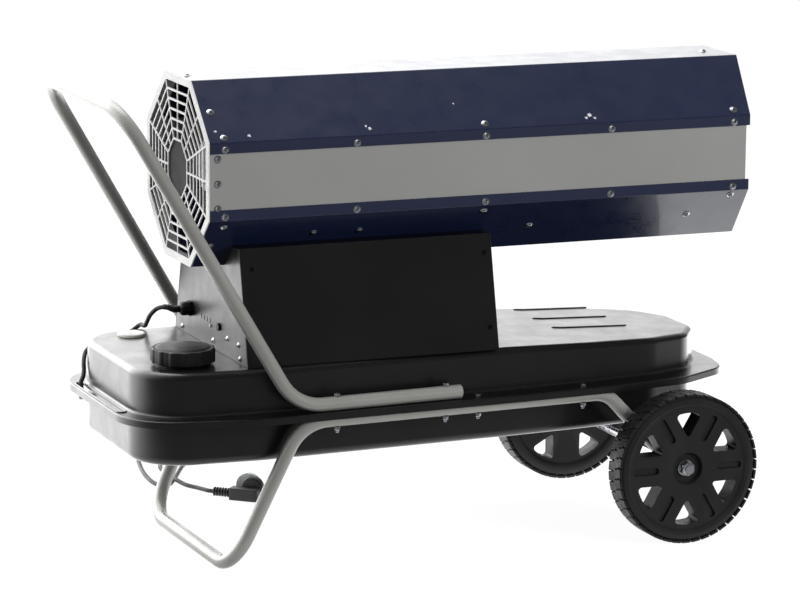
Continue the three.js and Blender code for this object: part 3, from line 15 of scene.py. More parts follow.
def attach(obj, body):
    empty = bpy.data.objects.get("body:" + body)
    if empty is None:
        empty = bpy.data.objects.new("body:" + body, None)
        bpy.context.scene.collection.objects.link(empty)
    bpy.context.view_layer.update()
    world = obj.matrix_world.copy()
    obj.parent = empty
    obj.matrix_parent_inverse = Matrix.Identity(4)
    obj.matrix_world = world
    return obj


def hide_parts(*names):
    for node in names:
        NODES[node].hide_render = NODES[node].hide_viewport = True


bl_info = {
    "name": "Forced Air Heater",
    "version": (1, 0, 0),
    "blender": (4, 5, 0),
    "location": "View3D > Sidebar > Heater",
    "description": "Builds the visible pieces and finishes of a wheeled forced air heater",
    "category": "Object",
}

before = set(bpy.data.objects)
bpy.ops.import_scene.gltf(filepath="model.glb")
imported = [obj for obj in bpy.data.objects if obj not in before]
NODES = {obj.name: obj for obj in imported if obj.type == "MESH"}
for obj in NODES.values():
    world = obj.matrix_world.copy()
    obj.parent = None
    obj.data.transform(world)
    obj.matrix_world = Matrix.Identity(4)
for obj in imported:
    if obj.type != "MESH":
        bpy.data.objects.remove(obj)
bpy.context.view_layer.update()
METRES = 0.001

# ------------------------------------------------------------------ sizes, in millimetres

SEAT = 0.3
SHEET = 1.2
TURN = 2 * math.pi

BARREL = {"across": 264.0, "axis_z": 552.0, "left": -347.0, "right": 499.0, "cut_back": 14.0}
PANEL_HALF = 39.5
PANEL_FACE = 130.5  # distance of the grey bands' faces from the middle
OUTLET = {"x": 470.0, "hole": 113.0, "rim": 16.0, "roll": 5.0}
CHAMBER = {"radius": 96.0, "rear": -30.0, "front": 462.0, "neck": 84.0, "port": 46.0}

PEDESTAL = {"left": -299.0, "right": 82.0, "top_half": 117.0, "bottom_half": 155.0, "top": 454.0}
BOX_BOTTOM = 291.3
LEAN = math.atan2(PEDESTAL["bottom_half"] - PEDESTAL["top_half"], PEDESTAL["top"] - BOX_BOTTOM)

SEAM_Z = 228.5
FLANGE_TOP = SEAM_Z + SEAT / 2 + SHEET
FLANGE_BOTTOM = SEAM_Z - SEAT / 2 - SHEET
TANK = {"top": 291.0, "bottom": 159.0, "edge": 10.0, "bottom_edge": 12.0, "draft": 1.0, "lip": 9.0}
TOP_FALL = {"start": 100.0, "end": 446.0, "drop": 12.0}
FLANGE_CORNERS = [(-476, 172, 88), (-300, 207, 150), (100, 187, 400), (256, 176, 200),
                  (376, 158, 70), (463, 108, 50), (474, 50, 40)]
WALL_CORNERS = [(-453, 158, 76), (-280, 168, 200), (100, 149, 400), (230, 139, 200),
                (340, 124, 90), (410, 96, 50), (446, 40, 36)]
HAND_SLOT = {"x": -464.5, "half": 100.0, "width": 11.0}
RIB = {"start": 232.0, "end": 342.0, "ys": (-22.0, 48.0, 118.0), "width": 7.0, "rise": 1.6}

FILLER = (-373.0, -92.0)
CAP = {"radius": 45.5, "dent": 1.6, "low": 295.0, "high": 315.0, "dome": 6.0, "ribs": 14,
       "roof": 309.4, "bore": 36.5}
GAUGE = {"x": -380.0, "y": 115.0, "radius": 20.0, "seat": 291.3, "rise": 4.0, "stem": 6.0,
         "stem_end": 253.0, "barrel": 9.0, "barrel_end": 287.8, "dial": 0.9, "ticks": 5,
         "tick_step": 28.5}
NECK_HOLE = 30.5

TUBE = {"radius": 10.0, "bore": 8.9}
HANDLE_RUN_Z = FLANGE_TOP + SEAT + TUBE["radius"]
STAND_RUN_Z = FLANGE_BOTTOM - SEAT - TUBE["radius"]
HANDLE = {"top": (-489.0, 664.0), "top_half": 178.0, "corner_x": -242.0, "corner_half": 192.0,
          "end_x": 13.0, "end_half": 177.0, "bend_top": 58.0, "bend_bottom": 70.0}
STAND = {"foot_x": -329.0, "foot_half": 173.0, "corner_x": -233.0, "knee_x": 247.0,
         "knee_half": 163.0, "past_end": 14.0, "bend_foot": 58.0, "bend_corner": 60.0,
         "bend_knee": 45.0}
FOOT_HOLE = {"place": (-330.2, -135.2, 20.0), "half_x": 2.8, "half_y": 5.0}
HANDLE_BOLT_XS = (-178.5, -10.5)
STAND_BOLT_XS = (41.0, 209.7)
BOLT = {"shank": 2.5, "washer": 4.9, "washer_height": 0.8, "across": 8.0, "head": 3.2, "nut": 3.6,
        "collar": 1.2, "tip": 8.5}

AXLE = {"x": 351.0, "z": 110.0, "radius": 6.0}
AXLE_NUT = {"washer": 12.0, "washer_height": 2.0, "across": 19.0, "height": 9.0}
FAR_WHEEL_TURN = 30.0
WHEEL = {"radius": 110.0, "outer_y": 229.0, "width": 40.0, "recess": 13.0, "lug": 2.4}
SPOKES = {"count": 6, "half": 21.0, "reach": 83.0}
GROOVE = {"from": 46.0, "to": 86.0, "half": 5.0, "corner": 4.4, "floor": 31.5}
TREAD_ROWS = (28.0, 12.0)  # the lug rows' distances from the wheel's inner side

GLAND = {"y": 83.6, "z": 332.0, "across": 20.5}
CORD_DIAMETER = 6.6
CORD_START = (-318.3, GLAND["y"], GLAND["z"])
CORD_ROUTE = [
    (-335.5, 88.5, 335), (-344.5, 100.5, 331.5), (-350.5, 115, 320), (-350.5, 132, 306),
    (-348.5, 148, 297), (-351, 161.5, 295.8), (-361, 170.8, 285.5), (-379, 170.5, 280),
    (-401, 167, 279), (-425, 152.5, 277), (-434.5, 142.4, 272.5), (-444.6, 129.8, 268.3),
    (-450.2, 119.2, 262.7), (-453.5, 111, 255.7), (-455.4, 104.2, 247.7), (-458.5, 98, 240.4),
    (-464.5, 91, 232), (-464.5, 87, 224), (-463.5, 90, 216), (-461, 100, 209.5), (-456, 117, 205),
    (-447, 141, 200), (-431, 172, 190), (-409, 205, 172), (-385, 245, 147), (-358, 290, 118),
    (-330, 340, 90), (-304, 392, 63), (-280, 440, 41), (-254, 486, 27), (-224, 524, 18),
    (-192, 545, 11), (-165, 538, 6), (-156, 512, 3.7), (-162.7, 489.8, 3.6), (-187.3, 449.6, 3.6),
    (-210, 406, 3.6), (-230, 367, 3.6), (-246.7, 345.4, 3.6), (-258, 346.2, 3.6),
    (-262.1, 367.8, 3.6), (-260.4, 401.1, 3.6), (-254.6, 440.1, 3.6), (-245.7, 481.3, 3.6),
    (-235.9, 516.3, 3.6), (-221.7, 539.6, 3.6), (-206.8, 540.6, 3.6), (-198, 521.7, 3.6),
    (-205, 491, 3.6), (-218.3, 464.3, 3.6), (-225, 436, 4.8), (-229, 404, 8.2), (-233, 372, 11.2),
    (-233, 342, 11), (-228, 314, 9.6), (-219, 287, 10.6),
]
CORD_STRAIGHT = 8.0
RELIEF = {"start": 5.2, "taper": 1.5, "length": 26.0, "ridge": 0.35}
PLUG = {"at": (-184.3, 234.7, 12.0), "turn": -42.0, "relief": 28.0, "length": 45.0, "width": 19.0}
PLUG_HEAD = {"along": 30.5, "cover_along": 21.5, "centre_z": 20.5, "radius": 17.0, "depth": 9.0}
PLUG_RIBS = {"count": 6, "pitch": 4.4}
PIN_COVER = {"radius": 20.0, "from": 7.0, "depth": 15.0}

KNOB = {"x": -120.0, "up": 92.0, "lift": 0.5, "shaft": 4.8, "skirt": 17.0}
SCALE = {"ticks": 10, "step": 30.0, "start": 90.0, "radius": 20.5}

# Screws of the barrel as (x, distance from the middle, height, facing y, facing z), on both sides
SLANT = math.sqrt(0.5)
SIDE_SCREW_XS = (-325.0, -129.0, 67.0, 263.0, 459.0)
BARREL_SIDE = BARREL["across"] / 2
BARREL_SCREWS = (
    [(x, BARREL_SIDE, z, 1.0, 0.0) for x in SIDE_SCREW_XS for z in (597.5, 503.0)]
    + [(-335.0, PANEL_FACE, z, 1.0, 0.0) for z in (584.0, 549.0, 514.4)]
    + [(x, y, z, SLANT, SLANT) for x, y, z in (
        (-333.5, 94.7, 644.0), (-324.6, 126.4, 612.3), (67.6, 125.7, 613.0),
        (460.7, 125.0, 613.7))]
    + [(x, y, z, SLANT, -SLANT) for x, y, z in (
        (-322.5, 120.7, 486.0), (-331.3, 90.4, 455.7), (-182.2, 102.7, 468.0),
        (-112.9, 102.1, 467.4), (68.5, 122.4, 487.7), (153.5, 91.5, 456.8),
        (404.3, 93.1, 458.4), (459.5, 124.3, 489.6))]
)
TOP_SCREW = (-338.0, -7.0, 684.0)
FRONT_TOP_SCREW = (468.0, -7.0, 684.0)
SCREW = {"radius": 5.5, "rise": 3.0, "cross_half": 2.6, "slot_half": 0.75}
COVER_SCREWS = ((-283.0, 424.6), (69.6, 426.6), (70.4, 323.0))  # (x, height) on each cover
PLATE_SCREWS = ((-69.7, 316.3), (-116.0, 316.3), (-10.4, 302.6), (-121.9, 297.5), (123.4, 297.5))
PAINT_CHIPS = ((-287, 614, 2.0), (-334, 621, 1.6), (-107, 615, 2.4), (-112, 618, 1.5),
               (226, 614, 2.0), (232, 617, 3.0), (239, 613, 1.8), (30, 640, 1.2))


# ------------------------------------------------------------------ the camera of the photograph

CAMERA = {"azimuth": -22.264, "elevation": 11.305, "roll": 0.544, "focal_px": 3985.1,
          "place": (-2.1556, -5.2450, 1.4731), "image_px": 800, "sensor_mm": 36.0}


# ------------------------------------------------------------------ meshes

def rounded_route(stops, segments):
    """Points along a path of (corner, bend radius), each corner rounded by an arc."""
    route = []
    for i, (corner, bend) in enumerate(stops):
        at = Vector(corner)
        if not bend:
            route.append(at)
            continue
        back = (Vector(stops[i - 1][0]) - at).normalized()
        ahead = (Vector(stops[i + 1][0]) - at).normalized()
        half = back.angle(ahead) / 2
        start = at + back * (bend / math.tan(half))
        end = at + ahead * (bend / math.tan(half))
        centre = at + (back + ahead).normalized() * (bend / math.sin(half))
        first, last = start - centre, end - centre
        sweep = first.angle(last)
        for k in range(segments + 1):
            t = k / segments
            route.append(centre + first * (math.sin((1 - t) * sweep) / math.sin(sweep))
                         + last * (math.sin(t * sweep) / math.sin(sweep)))
    return route


def skin(bm, rings, loop=False, caps=False):
    """Faces between rings of equal count. A loop joins the last ring to the first."""
    made = [[bm.verts.new(point) for point in ring] for ring in rings]
    pairs = list(zip(made, made[1:]))
    if loop:
        pairs.append((made[-1], made[0]))
    for low, high in pairs:
        count = len(low)
        for i in range(count):
            j = (i + 1) % count
            bm.faces.new((low[i], low[j], high[j], high[i]))
    if caps:
        bm.faces.new(made[0][::-1])
        bm.faces.new(made[-1])
    return made


def circle(radius, sides):
    return [(radius * math.cos(TURN * i / sides), radius * math.sin(TURN * i / sides))
            for i in range(sides)]


def lathe(bm, profile, sides, place=Matrix.Identity(4), loop=False):
    """Turns (radius, height) points about local Z. Ends at radius 0 close in a point."""
    rings = [[place @ Vector((x, y, height)) for x, y in circle(radius, sides)]
             for radius, height in profile]
    skin(bm, rings, loop=loop, caps=not loop)


def arc(centre, radius, start, end, steps):
    """Points of an arc in (radius, height), angles in degrees."""
    return [(centre[0] + radius * math.cos(math.radians(start + (end - start) * i / steps)),
             centre[1] + radius * math.sin(math.radians(start + (end - start) * i / steps)))
            for i in range(steps + 1)]


def prism(bm, outline, low, high, place=Matrix.Identity(4)):
    """An outline in local (x, y) pushed from low to high along local Z."""
    skin(bm, [[place @ Vector((x, y, z)) for x, y in outline] for z in (low, high)], caps=True)


def travelling_frames(route, closed=False):
    """(point, side, up) along a route, turning as little as possible."""
    count = len(route)
    frames = []
    side = (route[1] - route[0]).orthogonal().normalized()
    for i, point in enumerate(route):
        before = route[i - 1] if i or closed else point
        after = route[(i + 1) % count] if i < count - 1 or closed else point
        way = (point - before).normalized() + (after - point).normalized()
        way.normalize()
        side = (side - way * side.dot(way)).normalized()
        frames.append((point, side, way.cross(side)))
    return frames


def tube(bm, route, radius, sides, bore=0.0, closed=False):
    """A round tube along a route; radius is one number or one for each point."""
    radii = radius if isinstance(radius, (list, tuple)) else [radius] * len(route)
    frames = travelling_frames(route, closed)

    def ring(place, size):
        point, side, up = place
        return [point + side * x + up * y for x, y in circle(size, sides)]

    outer = [ring(place, size) for place, size in zip(frames, radii)]
    if closed:
        skin(bm, outer, loop=True)
    elif bore:
        inner = [ring(place, bore) for place in reversed(frames)]
        skin(bm, outer + inner, loop=True)
    else:
        skin(bm, outer, caps=True)


def plain_mesh(name, bm, crease=32.0, outward=True):
    """A new object from a bmesh in millimetres, smooth but for edges sharper than crease."""
    bmesh.ops.remove_doubles(bm, verts=bm.verts, dist=1e-4)
    bmesh.ops.dissolve_degenerate(bm, edges=bm.edges, dist=1e-5)
    if outward:
        bmesh.ops.recalc_face_normals(bm, faces=bm.faces)
    bmesh.ops.scale(bm, vec=(METRES, METRES, METRES), verts=bm.verts)
    shade(bm, crease)
    mesh = bpy.data.meshes.new(name)
    bm.to_mesh(mesh)
    bm.free()
    piece = bpy.data.objects.new(name, mesh)
    bpy.context.scene.collection.objects.link(piece)
    return piece


def shade(bm, crease):
    bm.normal_update()
    limit = math.radians(crease)
    for face in bm.faces:
        face.smooth = True
    for edge in bm.edges:
        edge.smooth = len(edge.link_faces) == 2 and edge.calc_face_angle(0.0) < limit


def apply_modifiers(piece):
    """Replaces a piece's mesh by the evaluated one and removes its modifiers."""
    bpy.context.view_layer.update()
    depsgraph = bpy.context.evaluated_depsgraph_get()
    done = bpy.data.meshes.new_from_object(piece.evaluated_get(depsgraph),
                                           preserve_all_data_layers=True, depsgraph=depsgraph)
    piece.modifiers.clear()
    old = piece.data
    piece.data = done
    bpy.data.meshes.remove(old)
    done.name = piece.name


def carve(piece, cutter, crease=32.0):
    """Cuts one closed mesh out of another."""
    modifier = piece.modifiers.new("carve", "BOOLEAN")
    modifier.operation = "DIFFERENCE"
    modifier.solver = "EXACT"
    modifier.object = cutter
    modifier.use_self = True
    apply_modifiers(piece)
    mesh = cutter.data
    bpy.data.objects.remove(cutter)
    bpy.data.meshes.remove(mesh)
    bm = bmesh.new()
    bm.from_mesh(piece.data)
    bmesh.ops.remove_doubles(bm, verts=bm.verts, dist=1e-6)
    shade(bm, crease)
    bm.to_mesh(piece.data)
    bm.free()


def rounded_edges(piece, width, segments=2, angle=35.0):
    """A small radius on a piece's edges, with shading that keeps its flats flat."""
    bevel = piece.modifiers.new("radius", "BEVEL")
    bevel.width = width * METRES
    bevel.segments = segments
    bevel.limit_method = "ANGLE"
    bevel.angle_limit = math.radians(angle)
    bevel.harden_normals = True
    apply_modifiers(piece)


def flat_faces_flat(piece):
    """Shading that follows the large faces."""
    weighted = piece.modifiers.new("flats", "WEIGHTED_NORMAL")
    weighted.keep_sharp = True
    apply_modifiers(piece)


def finish_piece(piece, finish, body="frame", stands_for=()):
    """Gives a piece its material, its body and the CAD nodes that it stands for."""
    piece.data.materials.clear()
    piece.data.materials.append(FINISHES[finish])
    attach(piece, body)
    if stands_for:
        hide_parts(*stands_for)
    return piece


def softened_copy(node, finish, body, width, crease=35.0):
    """A welded copy of a CAD node with smooth rounds and, where given, a small edge radius."""
    bm = bmesh.new()
    bm.from_mesh(NODES[node].data)
    bmesh.ops.remove_doubles(bm, verts=bm.verts, dist=2e-6)
    bmesh.ops.dissolve_limit(bm, angle_limit=math.radians(0.5), verts=bm.verts, edges=bm.edges)
    shade(bm, crease)
    mesh = bpy.data.meshes.new(node + "_skin")
    bm.to_mesh(mesh)
    bm.free()
    piece = bpy.data.objects.new(mesh.name, mesh)
    bpy.context.scene.collection.objects.link(piece)
    if width:
        rounded_edges(piece, width, angle=crease)
    else:
        flat_faces_flat(piece)
    return finish_piece(piece, finish, body, (node,))


# ------------------------------------------------------------------ repeated pieces

def copies_tree():
    """Geometry Nodes: one small piece on every point, turned along its attributes."""
    tree = bpy.data.node_groups.new("set_of_pieces", "GeometryNodeTree")
    tree.is_modifier = True
    for label, kind in (("Places", "NodeSocketGeometry"), ("Piece", "NodeSocketObject"),
                        ("Finish", "NodeSocketMaterial"), ("Size", "NodeSocketFloat"),
                        ("Spin", "NodeSocketFloat"), ("Seed", "NodeSocketInt")):
        tree.interface.new_socket(name=label, in_out="INPUT", socket_type=kind)
    tree.interface.new_socket(name="Geometry", in_out="OUTPUT", socket_type="NodeSocketGeometry")
    made = tree.nodes.new
    link = tree.links.new
    entry, leave = made("NodeGroupInput"), made("NodeGroupOutput")
    piece = made("GeometryNodeObjectInfo")
    piece.transform_space = "ORIGINAL"
    facing, along = made("GeometryNodeInputNamedAttribute"), made("GeometryNodeInputNamedAttribute")
    for node, attribute in ((facing, "facing"), (along, "along")):
        node.data_type = "FLOAT_VECTOR"
        node.inputs["Name"].default_value = attribute
    upwards, sideways = (made("FunctionNodeAlignRotationToVector") for _ in range(2))
    upwards.axis = "Z"
    sideways.axis, sideways.pivot_axis = "X", "Z"
    chance = made("FunctionNodeRandomValue")
    chance.data_type = "FLOAT"
    chance.inputs[3].default_value = TURN
    amount = made("ShaderNodeMath")
    amount.operation = "MULTIPLY"
    about = made("ShaderNodeCombineXYZ")
    euler = made("FunctionNodeEulerToRotation")
    spun = made("FunctionNodeRotateRotation")
    spun.rotation_space = "LOCAL"
    placed = made("GeometryNodeInstanceOnPoints")
    real = made("GeometryNodeRealizeInstances")
    dressed = made("GeometryNodeSetMaterial")
    link(entry.outputs["Piece"], piece.inputs["Object"])
    link(facing.outputs["Attribute"], upwards.inputs["Vector"])
    link(upwards.outputs["Rotation"], sideways.inputs["Rotation"])
    link(along.outputs["Attribute"], sideways.inputs["Vector"])
    link(entry.outputs["Seed"], chance.inputs["Seed"])
    link(chance.outputs[1], amount.inputs[0])
    link(entry.outputs["Spin"], amount.inputs[1])
    link(amount.outputs[0], about.inputs["Z"])
    link(about.outputs[0], euler.inputs[0])
    link(sideways.outputs["Rotation"], spun.inputs["Rotation"])
    link(euler.outputs[0], spun.inputs["Rotate By"])
    link(entry.outputs["Places"], placed.inputs["Points"])
    link(piece.outputs["Geometry"], placed.inputs["Instance"])
    link(spun.outputs["Rotation"], placed.inputs["Rotation"])
    link(entry.outputs["Size"], placed.inputs["Scale"])
    link(placed.outputs["Instances"], real.inputs[0])
    link(real.outputs[0], dressed.inputs["Geometry"])
    link(entry.outputs["Finish"], dressed.inputs["Material"])
    link(dressed.outputs[0], leave.inputs[0])
    return tree


def set_of(name, prototype, places, finish, body="frame", size=1.0, spin=0.0, seed=1,
           stands_for=()):
    """Copies of a prototype at (point, facing, along), in millimetres, as one plain mesh."""
    mesh = bpy.data.meshes.new(name)
    mesh.from_pydata([Vector(point) * METRES for point, _, _ in places], [], [])
    for index, attribute in ((1, "facing"), (2, "along")):
        layer = mesh.attributes.new(attribute, "FLOAT_VECTOR", "POINT")
        layer.data.foreach_set("vector", [c for place in places for c in place[index]])
    piece = bpy.data.objects.new(name, mesh)
    bpy.context.scene.collection.objects.link(piece)
    tree = bpy.data.node_groups.get("set_of_pieces") or copies_tree()
    modifier = piece.modifiers.new("copies", "NODES")
    modifier.node_group = tree
    values = {"Piece": prototype, "Finish": FINISHES[finish], "Size": size, "Spin": spin, "Seed": seed}
    for item in tree.interface.items_tree:
        if item.item_type == "SOCKET" and item.in_out == "INPUT" and item.name in values:
            modifier[item.identifier] = values[item.name]
    apply_modifiers(piece)
    for attribute in ("facing", "along"):
        layer = piece.data.attributes.get(attribute)
        if layer:
            piece.data.attributes.remove(layer)
    data = prototype.data
    bpy.data.objects.remove(prototype)
    bpy.data.meshes.remove(data)
    return finish_piece(piece, finish, body, stands_for)


def facing_out(x, y, z, facing):
    """A place for set_of, with any direction across its facing."""
    normal = Vector(facing).normalized()
    across = Vector((1, 0, 0)) if abs(normal.x) < 0.9 else Vector((0, 1, 0))
    return (x, y, z), tuple(normal), tuple(across)


# ------------------------------------------------------------------ materials

FINISHES = {}


def linear(red, green, blue):
    """A colour given as it shows on a screen, 0 to 255, as Blender's linear colour."""
    def channel(value):
        c = value / 255
        return c / 12.92 if c <= 0.04045 else ((c + 0.055) / 1.055) ** 2.4
    return (channel(red), channel(green), channel(blue), 1.0)


class Finish:
    """A procedural material on object coordinates, in metres."""

    def __init__(self, name, roughness, metallic=0.0, coat=0.0, coat_roughness=0.1, level=0.5,
                 ior=1.5):
        self.material = bpy.data.materials.new(name)
        self.material.use_nodes = True
        self.tree = self.material.node_tree
        self.shader = self.tree.nodes["Principled BSDF"]
        self.set("Roughness", roughness)
        self.set("Metallic", metallic)
        self.set("Coat Weight", coat)
        self.set("Coat Roughness", coat_roughness)
        self.set("Specular IOR Level", level)
        self.set("IOR", ior)
        self.coords = self.tree.nodes.new("ShaderNodeTexCoord").outputs["Object"]
        self.height = None
        FINISHES[name] = self.material

    def set(self, socket, value):
        self.shader.inputs[socket].default_value = value

    def node(self, kind, **values):
        made = self.tree.nodes.new(kind)
        for key, value in values.items():
            setattr(made, key, value)
        return made

    def link(self, source, target):
        self.tree.links.new(source, target)

    def noise(self, scale, detail=3.0, rough=0.5, stretch=(1, 1, 1), distortion=0.0):
        mapping = self.node("ShaderNodeMapping")
        mapping.inputs["Scale"].default_value = stretch
        self.link(self.coords, mapping.inputs["Vector"])
        made = self.node("ShaderNodeTexNoise")
        made.inputs["Scale"].default_value = scale
        made.inputs["Detail"].default_value = detail
        made.inputs["Roughness"].default_value = rough
        made.inputs["Distortion"].default_value = distortion
        self.link(mapping.outputs[0], made.inputs["Vector"])
        return made.outputs["Fac"]

    def ramp(self, source, stops):
        made = self.node("ShaderNodeValToRGB")
        elements = made.color_ramp.elements
        while len(elements) < len(stops):
            elements.new(0.5)
        for element, (position, colour) in zip(elements, stops):
            element.position = position
            element.color = colour if len(colour) == 4 else (*colour, 1.0)
        self.link(source, made.inputs["Fac"])
        return made.outputs["Color"]

    def math(self, operation, first, second=None):
        made = self.node("ShaderNodeMath", operation=operation)
        for socket, value in zip(made.inputs, (first, second)):
            if value is None:
                continue
            if isinstance(value, (int, float)):
                socket.default_value = value
            else:
                self.link(value, socket)
        return made.outputs[0]

    def spread(self, source, low, high):
        """Maps a noise, which keeps near its middle, to the range low to high."""
        made = self.node("ShaderNodeMapRange")
        for socket, value in zip(("From Min", "From Max", "To Min", "To Max"), (0.3, 0.7, low, high)):
            made.inputs[socket].default_value = value
        self.link(source, made.inputs["Value"])
        return made.outputs[0]

    def mix(self, factor, first, second):
        made = self.node("ShaderNodeMix", data_type="RGBA")
        for socket, value in ((made.inputs[0], factor), (made.inputs[6], first), (made.inputs[7], second)):
            if isinstance(value, (int, float, tuple)):
                socket.default_value = value
            else:
                self.link(value, socket)
        return made.outputs[2]

    def colour(self, source):
        self.link(source, self.shader.inputs["Base Color"])

    def roughness(self, source):
        self.link(source, self.shader.inputs["Roughness"])

    def bump(self, source, depth, strength=1.0):
        """Adds a height of depth metres under the shader's normal."""
        made = self.node("ShaderNodeBump")
        made.inputs["Strength"].default_value = strength
        made.inputs["Distance"].default_value = depth
        self.link(source, made.inputs["Height"])
        if self.height is not None:
            self.link(self.height, made.inputs["Normal"])
        self.height = made.outputs["Normal"]
        self.link(self.height, self.shader.inputs["Normal"])

    def marks(self, spots):
        """1 inside ragged spots of (point, radius) in metres, and 0 elsewhere."""
        ragged = self.spread(self.noise(900, 2.0), -0.0012, 0.0012)
        least = None
        for point, radius in spots:
            apart = self.node("ShaderNodeVectorMath", operation="DISTANCE")
            apart.inputs[1].default_value = point
            self.link(self.coords, apart.inputs[0])
            inside = self.math("SUBTRACT", apart.outputs["Value"], radius)
            least = inside if least is None else self.math("MINIMUM", least, inside)
        edge = self.math("ADD", least, ragged)
        return self.math("LESS_THAN", edge, 0.0)

    def dust(self, amount, colour, base):
        """Fine pale dust that gathers in soft patches."""
        patches = self.spread(self.noise(9, 4.0, 0.6), 0.0, 1.0)
        grains = self.spread(self.noise(420, 2.0, 0.7), 0.0, 1.0)
        cover = self.math("MULTIPLY", self.math("MULTIPLY", patches, grains), amount)
        return self.mix(cover, base, colour)


def enamel(name, colour, deeper, roughness, coat, peel=0.00004, coat_roughness=0.08, dust=0.05,
           level=0.5, spots=()):
    """Sprayed enamel: a slow drift of tone, orange peel, a little dust and any paint chips."""
    finish = Finish(name, roughness, coat=coat, coat_roughness=coat_roughness, level=level)
    tone = finish.ramp(finish.noise(6, 3.0), [(0.35, deeper), (0.65, colour)])
    tone = finish.dust(dust, linear(150, 152, 156), tone)
    if spots:
        chipped = finish.marks(spots)
        tone = finish.mix(chipped, tone, linear(196, 198, 204))
        finish.bump(finish.math("SUBTRACT", 1.0, chipped), 0.0003, 0.5)
    finish.colour(tone)
    finish.roughness(finish.spread(finish.noise(30, 3.0), roughness - 0.05, roughness + 0.06))
    finish.bump(finish.noise(260, 2.0), peel, 0.5)
    return finish


def moulded(name, colour, paler, roughness, grain=700.0, depth=0.00006, level=0.4):
    """Moulded plastic or rubber: fine texture, a faint bloom and flow marks."""
    finish = Finish(name, roughness, level=level)
    bloom = finish.ramp(finish.noise(14, 4.0, 0.6, distortion=0.6), [(0.35, colour), (0.72, paler)])
    finish.colour(bloom)
    finish.roughness(finish.spread(finish.noise(45, 3.0), roughness - 0.06, roughness + 0.1))
    finish.bump(finish.noise(grain, 3.0, 0.6), depth, 0.6)
    return finish


def metal(name, colour, darker, roughness, stretch=(1, 1, 1), scale=300.0, depth=0.00002):
    """Bare or plated metal: drawn grain and slightly uneven tone."""
    finish = Finish(name, roughness, metallic=1.0)
    finish.colour(finish.ramp(finish.noise(60, 4.0, 0.6), [(0.3, darker), (0.7, colour)]))
    grain = finish.noise(scale, 3.0, 0.6, stretch=stretch)
    finish.roughness(finish.spread(grain, roughness - 0.08, roughness + 0.12))
    finish.bump(grain, depth, 0.5)
    return finish


def chip_places():
    """The paint chips on the near upper slant, in metres."""
    places = []
    for x, z, radius in PAINT_CHIPS:
        y = -(BARREL_SIDE - (z - BARREL["axis_z"] - half_side(BARREL["across"])))
        places.append((Vector((x, y, z)) * METRES, radius * METRES))
    return places


def make_finishes(colours):
    navy = tuple(colours.navy) + (1.0,)
    enamel("navy_enamel", navy, tuple(c * 0.92 for c in navy[:3]) + (1.0,), 0.3, 0.5, peel=0.00002,
           dust=0.008, spots=chip_places())
    band = tuple(colours.band) + (1.0,)
    enamel("band_enamel", band, tuple(c * 0.94 for c in band[:3]) + (1.0,), 0.5, 0.1,
           peel=0.00003, coat_roughness=0.3)
    enamel("grille_enamel", linear(204, 204, 202), linear(194, 194, 193), 0.4, 0.1)
    tube_grey = tuple(colours.tubes) + (1.0,)
    finish = enamel("tube_enamel", tube_grey, tuple(c * 0.9 for c in tube_grey[:3]) + (1.0,),
                    0.38, 0.2, coat_roughness=0.25)
    finish.set("Metallic", 0.35)
    black = tuple(colours.black) + (1.0,)
    enamel("black_enamel", black, tuple(c * 0.8 for c in black[:3]) + (1.0,), 0.32, 0.35,
           peel=0.00003, coat_roughness=0.18, dust=0.008)
    enamel("pedestal_enamel", black, tuple(c * 0.8 for c in black[:3]) + (1.0,), 0.4, 0.12,
           peel=0.00003, coat_roughness=0.25, dust=0.01)
    enamel("matt_blank", linear(13, 13, 14), linear(10, 10, 11), 0.7, 0.0, dust=0.01, level=0.15)
    moulded("black_moulding", linear(17, 17, 18), linear(24, 24, 25), 0.45, level=0.28)
    moulded("wheel_moulding", linear(29, 29, 30), linear(36, 36, 37), 0.48, grain=500.0,
            depth=0.0001, level=0.25)
    moulded("rubber_sheath", linear(18, 18, 19), linear(27, 27, 27), 0.55, grain=900.0)
    moulded("white_moulding", linear(222, 222, 214), linear(232, 232, 226), 0.4)
    moulded("glazed_white", linear(228, 226, 218), linear(236, 234, 228), 0.2, depth=0.00001)
    moulded("red_moulding", linear(188, 34, 30), linear(204, 46, 40), 0.35)
    moulded("green_board", linear(28, 84, 50), linear(40, 104, 64), 0.4, grain=250.0)
    moulded("marking_white", linear(214, 214, 208), linear(226, 226, 220), 0.5)
    metal("bright_zinc", linear(206, 208, 212), linear(176, 178, 184), 0.26)
    metal("dark_steel", linear(62, 62, 64), linear(44, 44, 46), 0.35)
    metal("heat_steel", linear(172, 166, 156), linear(120, 112, 106), 0.36, stretch=(0.1, 1, 1))
    metal("cast_alloy", linear(196, 197, 198), linear(168, 169, 172), 0.45, scale=500.0, depth=0.0001)
    metal("turned_brass", linear(206, 170, 92), linear(176, 140, 70), 0.28)
    metal("drawn_copper", linear(208, 138, 104), linear(170, 104, 76), 0.28, stretch=(1, 1, 0.1))
    lens = moulded("clear_lens", linear(236, 240, 242), linear(242, 244, 246), 0.06, depth=0.000004,
                   level=0.5)
    lens.set("Transmission Weight", 0.92)
    cover = moulded("frosted_cover", linear(168, 169, 170), linear(214, 215, 216), 0.3, grain=300.0)
    cover.set("Subsurface Weight", 0.1)


CAD_FINISHES = {
    "side_panel_near": "band_enamel", "side_panel_far": "band_enamel",
    "intake_grille": "grille_enamel", "grille_centre_plate": "matt_blank",
    "chamber_bracket_rear": "bright_zinc", "chamber_bracket_front": "bright_zinc",
    "motor_bracket": "bright_zinc", "reset_switch": "black_moulding",
    "control_board": "green_board", "gauge_pointer": "red_moulding",
    "float_arm": "black_moulding", "ignition_transformer": "matt_blank",
}

